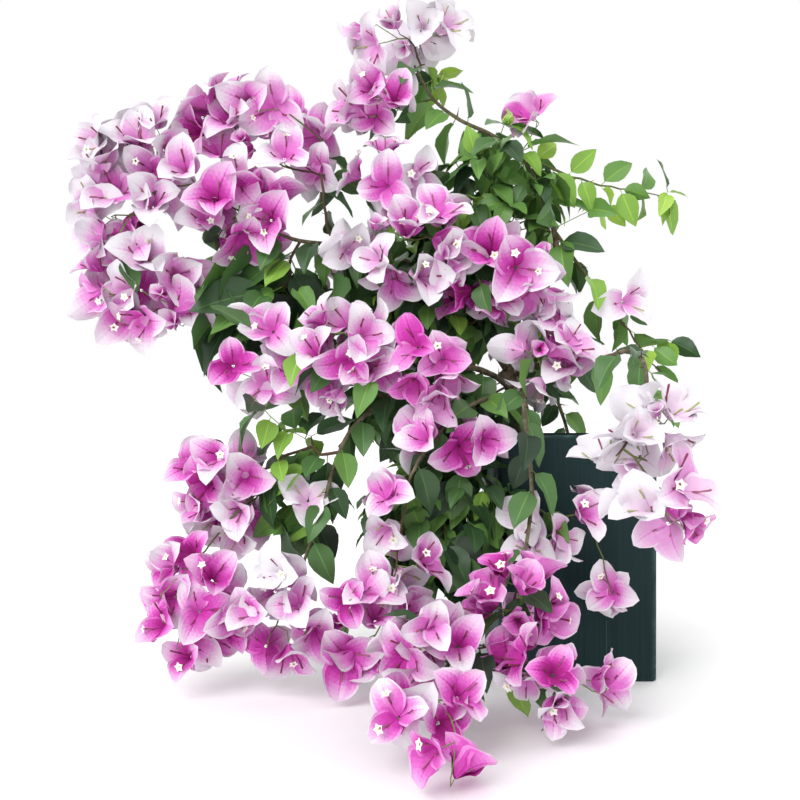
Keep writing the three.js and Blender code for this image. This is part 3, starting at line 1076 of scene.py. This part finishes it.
def setFlowers(shape, tone, size, apart, leafy, fade=(0, 0, 0), margin="broad"):
    # flowers face out all over the mass, in a front and a back layer, with more of them in its depth
    look = flowerLook
    found = []

    def setFlower(place, base, axis, shadedShare):
        shade = tone + perHalf(place - shape.centre, shape.half).dot(Vector(fade))
        # flowers that face down or sit deep in the mass stand in shade, and are painted paler against it
        shade += rng.gauss(0, look["toneSpread"]) + look["paintedShadeLift"] * shadedShare
        found.append(addFlower(shape.name, base, axis, shade, margin, size, leafy))

    behind = shape.name.startswith("back_")
    out, rise, scatter = look["facing"]
    for front in (True, False):
        spacing, face = look["frontLayer" if front else "backLayer"]
        kept = []
        for _ in range(0 if front and behind else look["surfaceTries"]):
            place, normal = shape.surfacePlace()
            if (normal.y < look["frontLimit"]) != front:
                continue
            sink = look["sink"] * rng.uniform(*look["sinkRange"])
            base = place - normal * sink - Vector((normal.x, 0, normal.z)) * look["edgeSink"]
            if crowded(base, kept, spacing * apart):
                continue
            kept.append(base)
            axis = (normal * out + Vector((0, face, 0)) + up * rise + randomUnit() * scatter).normalized()
            setFlower(place, base, axis, max(0.0, -axis.z))
    kept = []
    out, face, scatter = look["insideFacing"]
    for _ in range(0 if behind else look["insideTries"]):
        place = shape.boxPlace()
        if not shape.holds(place, look["insideDepth"]) or crowded(place, kept, look["insideGap"] * apart):
            continue
        kept.append(place)
        outward = (place - shape.centre).normalized()
        axis = (outward * out + Vector((0, face, 0)) + randomUnit() * scatter).normalized()
        setFlower(place, place, axis, 1.0)
    for site in found:
        setBracts(site)


def setLoneFlower(name, share, tone, size):
    shape = massShapes[name]
    base = shape.centre + Vector(a * b for a, b in zip(share, shape.half))
    face, scatter = flowerLook["loneFacing"]
    axis = (Vector((0, face, 0)) + randomUnit() * scatter).normalized()
    setBracts(addFlower(name, base, axis, tone, "broad", size, 0))


def setShoots(shape):
    spacing, length, tone, gap = leafHabit[shape.name]
    out, rise, scatter = leafLook["heading"]
    kept = []
    for _ in range(leafLook["shootTries"]):
        place = shape.boxPlace()
        offset = place - shape.centre
        edge = Vector((offset.x, 0, offset.z))
        reach = place + edge.normalized() * leafLook["tuck"] if edge.length > 0.001 else place
        if not shape.holds(place) or not shape.holds(reach) or crowded(place, kept, spacing):
            continue
        kept.append(place)
        outward = perHalf(offset, shape.half)
        arrive = (outward * out + Vector((0, 0, rise)) + randomUnit() * scatter).normalized()
        sites.append(SimpleNamespace(kind="shoot", mass=shape.name, place=place, arrive=arrive,
                                     outward=outward, tone=tone, leaf=length, gap=gap))


def addJoint(place, parent, along, radius):
    place = np.array(place, float)
    run = skeleton[parent].run + np.linalg.norm(skeleton[parent].place - place) if parent >= 0 else 0.0
    along = Vector(along).normalized()
    skeleton.append(SimpleNamespace(place=place, parent=parent, along=along, radius=radius, run=run))
    return len(skeleton) - 1


def addWood():
    # the trunk's and canes' centrelines, which the twigs branch from, and the last joint of each cane
    ends = {}
    last = -1
    for row in trunkLine[::2]:
        last = addJoint(row[:3], last, up, row[3])
    for name, path in caneLines.items():
        placed = np.array([joint.place for joint in skeleton])
        last = int(np.argmin(np.linalg.norm(placed - path[0][:3], axis=1)))
        for k in range(2, len(path), 2):
            along = path[min(k + 1, len(path) - 1)][:3] - path[k - 1][:3]
            last = addJoint(path[k][:3], last, along, path[k][3])
        ends[name] = last
    return ends


def layTwig(site, parent):
    # a bent twig from the joint to the site, in even steps
    look = growthLook
    start, end = Vector(skeleton[parent].place), site.place
    gap = (end - start).length
    count = max(1, round(gap / look["step"]))
    toward = (end - start).normalized()
    own, ahead, reach = look["leave"]
    first = start + (skeleton[parent].along * own + toward * ahead) * gap * reach
    own, ahead, reach = look["arrive"]
    second = end - (site.arrive * own + toward * ahead) * gap * reach
    site.parent, site.joints = parent, []
    last, before = parent, start
    for k in range(1, count + 1):
        t = k / count
        place = start * (1 - t)**3 + first * 3 * t * (1 - t)**2 + second * 3 * t * t * (1 - t) + end * t**3
        if k < count:
            place += randomUnit() * look["wander"]
        place.z = max(place.z, look["groundRoom"])
        last = addJoint(place, last, place - before, 0.0)
        before = place
        site.joints.append(last)


def growTwigs():
    # always the site that costs the least new wood comes next
    goals = np.array([tuple(site.place) for site in sites])
    cost = np.full(len(sites), np.inf)
    source = np.zeros(len(sites), int)
    waiting = np.ones(len(sites), bool)
    rows = np.arange(len(sites))

    def offer(first, last):
        if last <= first:
            return
        fresh = np.array([joint.place for joint in skeleton[first:last]])
        runs = np.array([joint.run for joint in skeleton[first:last]])
        gap = np.linalg.norm(goals[:, None] - fresh[None], axis=2) + growthLook["detour"] * runs[None]
        best = gap.argmin(1)
        value = gap[rows, best]
        better = value < cost
        cost[better] = value[better]
        source[better] = best[better] + first

    offer(len(trunkLine) // 2, len(skeleton))
    while waiting.any():
        chosen = int(np.argmin(np.where(waiting, cost, np.inf)))
        first = len(skeleton)
        layTwig(sites[chosen], int(source[chosen]))
        waiting[chosen] = False
        # nothing branches from a flower's own stalk
        offer(first, len(skeleton) - (1 if sites[chosen].kind == "flower" else 0))


def thickenTwigs():
    # each joint carries the tips beyond it
    look = growthLook
    load = [0] * len(skeleton)
    for k in range(len(skeleton) - 1, -1, -1):
        load[k] = max(load[k], 1)
        if skeleton[k].parent >= 0:
            load[skeleton[k].parent] += load[k]
    for joint, tips in list(zip(skeleton, load))[woodCount:]:
        radius = look["tipRadius"] * tips ** (1 / look["branchPower"])
        joint.radius = min(radius, skeleton[joint.parent].radius * look["thinning"])
    for leader in leaders:
        # a cane's own tip carries on at the cane's thickness
        whole = skeleton[leader.parent].radius
        for k, joint in enumerate(leader.joints):
            even = whole + (look["tipRadius"] - whole) * (k + 1) / len(leader.joints)
            skeleton[joint].radius = max(skeleton[joint].radius, even)


def layLeader(name, parent):
    # the cane's own shoot runs on to the far end of the mass it enters
    look = growthLook
    path = caneLines[name]
    tip = Vector(path[-1][:3])
    along = (tip - Vector(path[-4][:3])).normalized()
    shape = min(massShapes.values(), key=lambda s: s.surface.find_nearest(tip)[3])
    far = max(shape.points, key=lambda p: (p - tip).dot(along) + look["leaderStray"] * (p - tip).length)
    end = tip + (far - tip) * look["leaderShare"]
    end.z = max(end.z, look["leaderGround"])
    _, length, tone, _ = leafHabit.get(shape.name, otherHabit)
    leader = SimpleNamespace(kind="leader", place=end, arrive=(end - tip).normalized(), outward=along,
                             tone=tone, leaf=length, gap=2)
    layTwig(leader, parent)
    leaders.append(leader)


massShapes = {name: massShape(name) for name in {**bloomLook, **leafHabit}}
caneEnds = addWood()
woodCount = len(skeleton)
for name in sorted(caneLines):
    layLeader(name, caneEnds[name])
for name, habit in bloomLook.items():
    setFlowers(massShapes[name], *habit)
for entry in loneFlowers:
    setLoneFlower(*entry)
for name in leafHabit:
    setShoots(massShapes[name])
growTwigs()
thickenTwigs()
flowers = [site for site in sites if site.kind == "flower"]
print("twigs grown to", len(flowers), "flowers and", len(sites) - len(flowers), "shoots")

petalGrid = {
    "stations": (0, 0.07, 0.15, 0.24, 0.34, 0.45, 0.56, 0.67, 0.78, 0.87, 0.95, 1),
    "columns": (-1, -0.85, -0.6, -0.32, -0.05, 0.05, 0.32, 0.6, 0.85, 1),
    "halfWidth": 0.44,
    "widthRange": (0.92, 1.06),
    "arc": 0.15,  # how far each row of faces bends back round the throat
    "shoulder": 1.35,  # above 1 the bract is widest beyond its middle
    "shoulderSpread": 0.1,
    "fullness": 0.47,  # below 1 its outline is rounder than a sine
    "throat": 0.13,  # its width where it starts
    "cup": 0.2,
    "cupRange": (0.5, 1.4),
    "recurve": 0.13,
    "recurveRange": (0.2, 1.8),
    "bow": 0.1,
    "ruffle": (0.06, 0.13),
    "rufflePace": (8, 12),
    "crinkle": 0.016,
    "groove": 0.018,  # depth of the fold along the midrib
    "skew": 0.07,
    "heartSpread": 0.1,
    "reach": (0, 0.35, 0.55, 0.75, 0.95, 1.1),  # how far out each of the tones below lies
    "broad": (-2.4, -1.6, 0.0, 2.8, 4.8, 5.2),
    "narrow": (-1.3, -1.0, -0.4, 0.5, 2.6, 4.0),
    "sideRim": 1.8,
    "midrib": 2.4,
}
leafGrid = {
    "stations": (0, 0.09, 0.24, 0.41, 0.58, 0.75, 0.89, 1),
    "columns": (-1, -0.52, -0.05, 0.05, 0.52, 1),
    "halfWidth": 0.275,
    "shoulder": 0.74,
    "fullness": 0.92,
    "throat": 0.08,
    "fold": (0.1, 0.3),
    "ripple": (0.015, 0.04),
    "droop": (0.12, 0.5),
    "petiole": 0.14,
    "petioleRadius": 0.011,
}
tubeRows = [(0, 0), (0.02, 0.035), (0.2, 0.062), (0.45, 0.038), (0.75, 0.052), (0.93, 0.06), (1.0, 0)]
thornRows = [(-0.05, 0), (0, 0.09), (0.35, 0.055), (0.75, 0.022), (1.0, 0)]


def bladeMesh(grid, placeAt, stepAt, feathered=False):
    # a blade of rows and columns that closes to a point, with a shade step on every face; when feathered,
    # each face is halved along the veins so that one row's shade runs out into the next
    stations, columns = grid["stations"], grid["columns"]
    vertices = [placeAt(u, v) for v in stations[:-1] for u in columns] + [placeAt(0, 1)]
    width, tip = len(columns), len(vertices) - 1
    faces, steps = [], []
    for j, (low, high) in enumerate(zip(stations, stations[1:])):
        for i, (left, right) in enumerate(zip(columns, columns[1:])):
            a = j * width + i
            b, c, d = a + 1, a + 1 + width, a + width
            u = (left + right) / 2
            if high == stations[-1]:
                halves = [(a, b, tip)]
            elif not feathered or abs(u) < 0.01:
                halves = [(a, b, c, d)]
            elif u < 0:
                halves = [(a, b, d), (b, c, d)]
            else:
                halves = [(a, b, c), (a, c, d)]
            faces += halves
            steps += [stepAt(u, low + (high - low) * (k + 0.5) / len(halves)) for k in range(len(halves))]
    return vertices, faces, steps


def variantObject(name, vertices, faces, steps=None):
    thing = meshObject(name, vertices, faces)
    setAttribute(thing, "step", "INT", steps or [0] * len(faces), "FACE")
    return thing


def halfWidthAt(v, shoulder, grid):
    # from the throat to the point, before the blade's own width
    return max(0.0, math.sin(math.pi * v**shoulder)) ** grid["fullness"] if v else grid["throat"]


def makePetal(name, number):
    grid = petalGrid
    tones = grid["broad" if number < 4 else "narrow"]
    seed = 11 + number
    own = random.Random(seed)

    def eitherWay(label):
        return own.uniform(-grid[label], grid[label])

    ruffle, phase, pace = own.uniform(*grid["ruffle"]), own.uniform(0, 6.3), own.uniform(*grid["rufflePace"])
    recurve = grid["recurve"] * own.uniform(*grid["recurveRange"])
    cup = grid["cup"] * own.uniform(*grid["cupRange"])
    skew, heartShift = eitherWay("skew"), eitherWay("heartSpread")
    shoulder = grid["shoulder"] + eitherWay("shoulderSpread")
    halfWidth = grid["halfWidth"] * own.uniform(*grid["widthRange"])

    def placeAt(u, v):
        width = halfWidthAt(v, shoulder, grid)
        wave = ruffle * abs(u) ** 2.2 * math.sin(pace * v + phase + (1.6 if u > 0 else 0)) * width
        z = cup * u * u * width - recurve * v * v * v + grid["bow"] * math.sin(math.pi * v) + wave
        z -= grid["groove"] * (1 - min(1, abs(u) * 3))
        z += grid["crinkle"] * noise.noise(Vector((u * 3.3, v * 6.1, seed * 4.7)))
        back = grid["arc"] * u * u * math.sin(math.pi * v)
        return (u * width * halfWidth + skew * v * v, v - back, z)

    def stepAt(u, v):
        # a deep heart that gives way in arcs to a pale margin, and a deep midrib
        vein = 0.16 * noise.noise(Vector((u * 2.7, seed * 3.1, 0.5)))
        value = float(np.interp(v + heartShift + vein, grid["reach"], tones))
        if abs(u) > 0.8:
            value += grid["sideRim"] * min(1.0, 2.5 * v)
        if abs(u) < 0.1:
            value -= grid["midrib"] * (1 - 0.7 * v)
        return round(value * shadesPerTone)

    return variantObject(name, *bladeMesh(grid, placeAt, stepAt, feathered=True))


def turnedRing(y, radius, sides, lift=0.0):
    # a ring of vertices round the Y axis
    return [(radius * math.cos(angle), y, lift - radius * math.sin(angle)) for angle in around(sides)]


def makeLeafBlade(name, number):
    grid = leafGrid
    own = random.Random(31 + number)
    fold, droop = own.uniform(*grid["fold"]), own.uniform(*grid["droop"])
    ripple, phase = own.uniform(*grid["ripple"]), own.uniform(0, 6.3)
    stem = grid["petiole"]

    def placeAt(u, v):
        width = halfWidthAt(v, grid["shoulder"], grid)
        wave = ripple * abs(u) * math.sin(11 * v + phase + (2.2 if u > 0 else 0))
        z = fold * abs(u) * width * grid["halfWidth"] * 2 - droop * v * v + wave
        return (u * width * grid["halfWidth"], stem + v * (1 - stem), z)

    vertices, faces, steps = bladeMesh(grid, placeAt, lambda u, v: int(abs(u) < 0.1 and v < 0.85))
    rings = [turnedRing(y, grid["petioleRadius"], 3) for y in (-0.01, stem * 0.5, stem + 0.03)]
    addPart(vertices, faces, ringSkin(rings, "open"))
    return variantObject(name, vertices, faces, steps + [1] * (len(faces) - len(steps)))


def lathe(name, rows, bend):
    # a closed round shape along Y from rows of height and radius
    rings = [turnedRing(y, radius, 5, bend * y * y) for y, radius in rows[1:-1]]
    foot, top = rows[0][0], rows[-1][0]
    return variantObject(name, *ringSkin(rings, [(0, foot, 0), (0, top, bend * top**2)]))


def makeStar(name, twist, lobes=5):
    # a five-lobed flower opening towards Y, its eye on the inner faces
    vertices, faces = [(0, -0.12, 0)], []
    ring = lobes * 2
    for radius, deep, height, turn in ((0.22, 0.2, 0.0, 0), (1.0, 0.62, 0.12, twist)):
        for k in range(ring):
            angle = 2 * math.pi * (k + turn) / ring
            reach = deep if k % 2 else radius
            vertices.append((reach * math.cos(angle), height, -reach * math.sin(angle)))
    for k in range(ring):
        after = (k + 1) % ring
        faces += [(0, 1 + k, 1 + after), (1 + k, 1 + ring + k, 1 + ring + after, 1 + after)]
    return variantObject(name, vertices, faces, [1, 0] * ring)


organs = {name: [] for name in ("petal", "tube", "star", "leaf", "thorn", "greenBract")}


def addOrgan(kind, place, length, upper, size, shape, tone=0):
    organs[kind].append((place, turnOf(length, upper), size, shape, tone))


def openFlowers():
    look = flowerLook
    alongBract, alongAxis, scatter = look["tubeLean"]
    for site in flowers:
        for radial, length, upper, size in site.bracts:
            shape = rng.randrange(4) + (0 if site.margin == "broad" else 4)
            own = (site.tone + rng.gauss(0, look["bractSpread"])) * shadesPerTone
            base = site.base + radial * look["bractGap"]
            addOrgan("petal", base, length, upper, size, shape, own)
            if site.bud:
                continue
            root = base + length * size * look["tubeRoot"] + upper * look["bractGap"]
            lean = (length * alongBract + site.axis * alongAxis + randomUnit() * scatter).normalized()
            reach = look["tubeLength"] * size / look["petal"] * rng.uniform(*look["tubeRange"])
            green = site.tone > look["greenTubesFrom"] and rng.random() < 0.5
            tone = 2 if green else int(rng.random() < look["fadedTubes"])
            addOrgan("tube", root, lean, upper, reach, rng.randrange(2), tone)
            if rng.random() < look["starShare"]:
                top = root + lean * reach * 0.97
                addOrgan("star", top, lean, randomUnit(), look["star"], rng.randrange(2))


crownHigh = [max(shape.high[i] for shape in massShapes.values()) + leafLook["overCrown"] for i in range(3)]
flowerBases = np.array([tuple(site.base) for site in flowers])
flowerAxes = np.array([tuple(site.axis) for site in flowers])


def standsInFlower(place):
    # whether a place lies in the bowl of a flower or close above it
    look = leafLook
    offset = np.array(place) - flowerBases
    depth = (offset * flowerAxes).sum(1)
    aside = np.linalg.norm(offset - flowerAxes * depth[:, None], axis=1)
    close = (depth > look["clearFrom"]) & (depth < look["clearTo"])
    return bool((close & (aside < look["clearAside"])).any())


def addLeaf(place, along, outward, length, tone, turnNumber):
    look = leafLook
    radial = outFrom(along, math.radians(look["turn"]) * turnNumber + rng.gauss(0, 0.3))
    onward, aside, out = look["lean"]
    direction = (along * onward + radial * aside - up * look["hang"] + outward * out).normalized()
    rise, out, scatter = look["face"]
    upper = up * rise + outward * out + randomUnit() * scatter
    reach = place + direction * length
    sag = (upper - direction * upper.dot(direction)).normalized() * leafGrid["droop"][1] * length
    if min(reach.z, reach.z - sag.z) < look["groundGap"] or any(a > b for a, b in zip(reach, crownHigh)):
        return
    if any(standsInFlower(place + direction * length * share) for share in (0.35, 0.75)):
        return
    addOrgan("leaf", place, direction, upper, length, rng.randrange(5), tone)


def leafOut():
    look = leafLook
    for number, site in enumerate(sites + leaders):
        joints = [skeleton[k] for k in site.joints]
        if site.kind == "flower":
            for index, joint in zip(site.joints[:-1], joints):
                place = Vector(joint.place)
                outward = (place - massShapes[site.mass].centre).normalized() * 0.15
                for turn in range(int(site.leafy + rng.random())):
                    length = rng.uniform(*look["flowerTwigLeaf"])
                    addLeaf(place, joint.along, outward, length, rng.gauss(2.0, 0.9), index + turn * 1.7)
            continue
        outward = Vector((site.outward.x, site.outward.y * 1.5, site.outward.z))
        outward = outward.normalized() if outward.length > 0.1 else Vector((0, -1, 0))
        total = len(joints)
        for k in range(0, total, site.gap):
            size = site.leaf * rng.uniform(*look["sizeRange"]) * (1 - 0.2 * (k / total))
            tone = rng.gauss(site.tone, look["toneSpread"])
            addLeaf(Vector(joints[k].place), joints[k].along, outward, size, tone, number + k)
        for k in range(look["tipLeaves"]):
            size, tone = site.leaf * rng.uniform(*look["tipRange"]), rng.gauss(site.tone + 1, 0.6)
            addLeaf(Vector(joints[-1].place), joints[-1].along, outward, size, tone, number + total + k)


def leafAlongShoot(name, gap, length, tone):
    # an arching shoot bears its leaves above and below in turn, on to the end of its own tip
    tip = leaders[sorted(caneLines).index(name)]
    path = [Vector(row[:3]) for row in caneLines[name]] + [Vector(skeleton[k].place) for k in tip.joints]
    run = 0.0
    number = 0
    for k in range(2, len(path) - 1):
        run += (path[k] - path[k - 1]).length
        if run < gap:
            continue
        run = 0.0
        number += 1
        along = (path[k + 1] - path[k]).normalized()
        rise = up * (0.8 if number % 2 else -0.7)
        direction = (along * 0.5 + rise + randomUnit() * 0.3).normalized()
        upper = Vector((0, -0.85, 0.3)) + randomUnit() * 0.45
        size = length * rng.uniform(0.85, 1.1) * (1.1 - 0.25 * (k / len(path)))
        addOrgan("leaf", path[k], direction, upper, size, rng.randrange(5), rng.gauss(tone, 0.5))


def alongCane(path, k):
    place = Vector(path[k][:3])
    return place, (Vector(path[k + 1][:3]) - place).normalized()


def leafAlongCane(name, start, gap, length, tone):
    path = caneLines[name]
    steps = max(1, round(gap / limbLook["ringStep"]))
    for number, k in enumerate(range(int(len(path) * start), len(path) - 1, steps)):
        place, along = alongCane(path, k)
        size = length * rng.uniform(0.8, 1.1)
        addLeaf(place, along, Vector((0, -0.7, 0.3)), size, rng.gauss(tone, 0.6), number)


greenLook = {
    "masses": ("leaf_right_high", "leaf_top", "back_right"),
    "share": 0.3,  # of these masses' shoots
    "length": 0.017,
    "open": (0.9, 0.42),  # how much a green bract runs up the shoot and out from it
    "tone": 6,
}
thornLook = {
    "firstStep": 6,
    "steps": 5,
    "caneSizes": (0.006, 0.011),
    "twigSizes": (0.005, 0.008),
    "twigRadius": 0.0009,  # thinner twigs have none
    "twigShare": 0.3,
    "lean": (0.9, 0.4),  # how much a thorn stands out and leans on along its stem
    "rooted": 0.8,  # where its base is, in radii of the stem
}


def greenBracts():
    # young bracts, still green, at the ends of the high shoots
    look = greenLook
    onward, out = look["open"]
    for site in sites:
        if site.mass not in look["masses"] or rng.random() > look["share"]:
            continue
        tip = Vector(skeleton[site.joints[-1]].place)
        axis = (site.arrive + up * 0.5).normalized()
        for angle in around(3):
            radial = outFrom(axis, angle)
            length = axis * onward + radial * out
            shape = 4 + rng.randrange(4)
            addOrgan("greenBract", tip, length, axis - radial, look["length"], shape, look["tone"])


def addThorn(place, along, radius, sizes):
    out = along.cross(randomUnit()).normalized()
    place = place + out * radius * thornLook["rooted"]
    stand, lean = thornLook["lean"]
    addOrgan("thorn", place, out * stand + along * lean, along, rng.uniform(*sizes), rng.randrange(2))


def setThorns():
    look = thornLook
    for name, path in sorted(caneLines.items()):
        for k in range(look["firstStep"], len(path) - 2, look["steps"]):
            addThorn(*alongCane(path, k), path[k][3], look["caneSizes"])
    for joint in skeleton[woodCount:]:
        if joint.radius > look["twigRadius"] and rng.random() < look["twigShare"]:
            addThorn(Vector(joint.place), joint.along, 0.0, look["twigSizes"])


def makeTwigTree(materials):
    tree, given, result = newTree("twigTubes", {"Thickness": 1.0, "Sides": 6})
    lines = addNode(tree, "GeometryNodeMeshToCurve", {"Mesh": given["Geometry"]})
    ring = addNode(tree, "GeometryNodeCurvePrimitiveCircle", {"Resolution": given["Sides"], "Radius": 1.0})
    swell = combine(tree, "MULTIPLY", readAttribute(tree, "thickness", "FLOAT"), given["Thickness"])
    tube = addNode(tree, "GeometryNodeCurveToMesh",
                   {"Curve": lines, "Profile Curve": ring, "Scale": swell, "Fill Caps": True})
    real = addNode(tree, "GeometryNodeRealizeInstances", {"Geometry": tube})
    smooth = addNode(tree, "GeometryNodeSetShadeSmooth", {"Geometry": real})
    shade = readAttribute(tree, "tone", "INT")
    setInputs(result, {"Geometry": dealMaterials(tree, smooth, materials, shade)})
    return tree


def makeTwigs():
    brown, halfGreen = growthLook["barkRadii"]
    vertices, edges, thickness, tones = [], [], [], []
    for site in sites + leaders:
        radii = [skeleton[k].radius for k in site.joints]
        radii = [radii[0]] + radii
        places = [skeleton[k].place for k in (site.parent, *site.joints)]
        if site.kind == "flower":
            places.append(site.base)
            radii.append(flowerLook["stalkRadius"])
        start = len(vertices)
        vertices += places
        edges += [(start + k, start + k + 1) for k in range(len(places) - 1)]
        thickness += radii
        tones += [0 if max(radii) > brown else (1 if max(radii) > halfGreen else 2)] * len(places)
    twigs = meshObject("twigs", vertices, edges=edges)
    setAttribute(twigs, "thickness", "FLOAT", thickness)
    setAttribute(twigs, "tone", "INT", tones)
    runTree(twigs, makeTwigTree(organMaterials["youngTwig"]), {"Thickness": 1.0, "Sides": 6})
    return twigs


# leaves on the bare canes: where they start, the gap between them, their length and their shade
caneLeaves = {
    "cane_right_droop": (0.15, 0.026, 0.056, 2.7),
    "cane_top": (0.3, 0.016, 0.054, 2.6),
    "cane_left_arch": (0.2, 0.02, 0.056, 2.2),
    "cane_lower_left": (0.15, 0.018, 0.054, 1.8),
    "cane_centre_low": (0.15, 0.016, 0.054, 1.7),
    "cane_front_low": (0.2, 0.02, 0.052, 1.6),
    "cane_front_right": (0.1, 0.028, 0.046, 1.7),
    "cane_back_low": (0.2, 0.018, 0.05, 2.0),
}
openFlowers()
leafOut()
leafAlongShoot("cane_right_shoot", 0.0155, 0.046, 3.8)
for name, habit in caneLeaves.items():
    leafAlongCane(name, *habit)
greenBracts()
setThorns()
finishPiece(makeTwigs(), "bark")
print("twigs made")

sizeSpread = 0.1  # how far the sizes of organs of one kind differ
# each kind of organ is one piece: its shapes, its finish, how far its turns differ, its seed and its slot
sprayLook = {
    "bracts": ("petal", [makePetal(f"petal{k}", k) for k in range(8)], "petal", 0.2, 7, "blossom"),
    "flowerTubes": ("tube", [lathe(f"tube{k}", tubeRows, (0.05, -0.12)[k]) for k in range(2)], "flowerTube",
                    3.1, 8, "blossom"),
    "starFlowers": ("star", [makeStar(f"star{k}", (0.0, 0.25)[k]) for k in range(2)], "starFlower",
                    3.1, 9, "pale_blossom"),
    "leaves": ("leaf", [makeLeafBlade(f"leaf{k}", k) for k in range(5)], "leafBlade", 0.25, 10, "leaf"),
    "greenBracts": ("greenBract", [makePetal(f"greenPetal{k}", k) for k in range(8)], "leafBlade",
                    0.3, 12, "leaf"),
    "thorns": ("thorn", [lathe(f"thorn{k}", thornRows, (0.15, 0.3)[k]) for k in range(2)], "youngTwig",
               3.1, 11, "bark"),
}
sprayReplaces = {"bracts": bloomLook, "leaves": leafHabit}


def makeSpray(name, organ, shapes, finish, twist, seed, slotName):
    # one point for each organ, with its turn, size, shape and tone
    places, turns, sizes, kinds, tones = zip(*organs[organ])
    spray = meshObject(name, places)
    setAttribute(spray, "turn", "QUATERNION", [value for turn in turns for value in turn])
    setAttribute(spray, "size", "FLOAT", sizes)
    setAttribute(spray, "shape", "INT", kinds)
    setAttribute(spray, "tone", "INT", [round(tone) for tone in tones])
    runSpray(spray, makeSprayTree, shapes, organMaterials[finish],
             {"Size": 1.0, "Size spread": sizeSpread, "Twist": twist, "Seed": seed})
    finishPiece(spray, slotName, *sprayReplaces.get(name, ()))
    triangles = sum(len(p.vertices) - 2 for p in spray.data.polygons)
    print(name, "set:", len(places), "of them,", triangles, "triangles")


for name, settings in sprayLook.items():
    makeSpray(name, *settings)

studioLook = {
    "background": 1.0,
    "softLight": 0.97,  # strength of the even light all round
    "floor": srgb(250, 250, 250),
    "floorRadius": 60,
    "floorSides": 96,
    "suns": {  # where each large soft lamp stands, its strength and its spread in degrees
        "keyLamp": ((-0.5, -0.66, 0.68), 1.7, 40),
        "rimLamp": ((0.3, 0.7, 0.65), 0.5, 60),
    },
}


def makeStudio():
    look = studioLook
    scene.world = bpy.data.worlds.new("paleRoom")
    scene.world.use_nodes = True
    tree = scene.world.node_tree
    seen = addNode(tree, "ShaderNodeLightPath").outputs["Is Camera Ray"]
    strength = addNode(tree, "ShaderNodeMapRange",
                       {"Value": seen, "To Min": look["softLight"], "To Max": look["background"]})
    setInputs(tree.nodes["Background"], {"Color": (1, 1, 1, 1), "Strength": strength})
    for name, (place, power, spread) in look["suns"].items():
        data = bpy.data.lights.new(name, "SUN")
        data.energy = power
        data.angle = math.radians(spread)
        lamp = addObject(name, data)
        lamp.location = place
        lamp.rotation_euler = (-Vector(place)).to_track_quat("-Z", "Y").to_euler()
    rim = [(look["floorRadius"] * math.cos(a), look["floorRadius"] * math.sin(a), 0)
           for a in around(look["floorSides"])]
    material, _, shader = newMaterial("paleFloor")
    setInputs(shader, {"Base Color": look["floor"], "Roughness": 0.9})
    meshObject("studioFloor", rim, [tuple(range(len(rim)))], [material], smooth=False)
    scene.view_settings.view_transform = "Standard"


makeStudio()
print("studio lit")
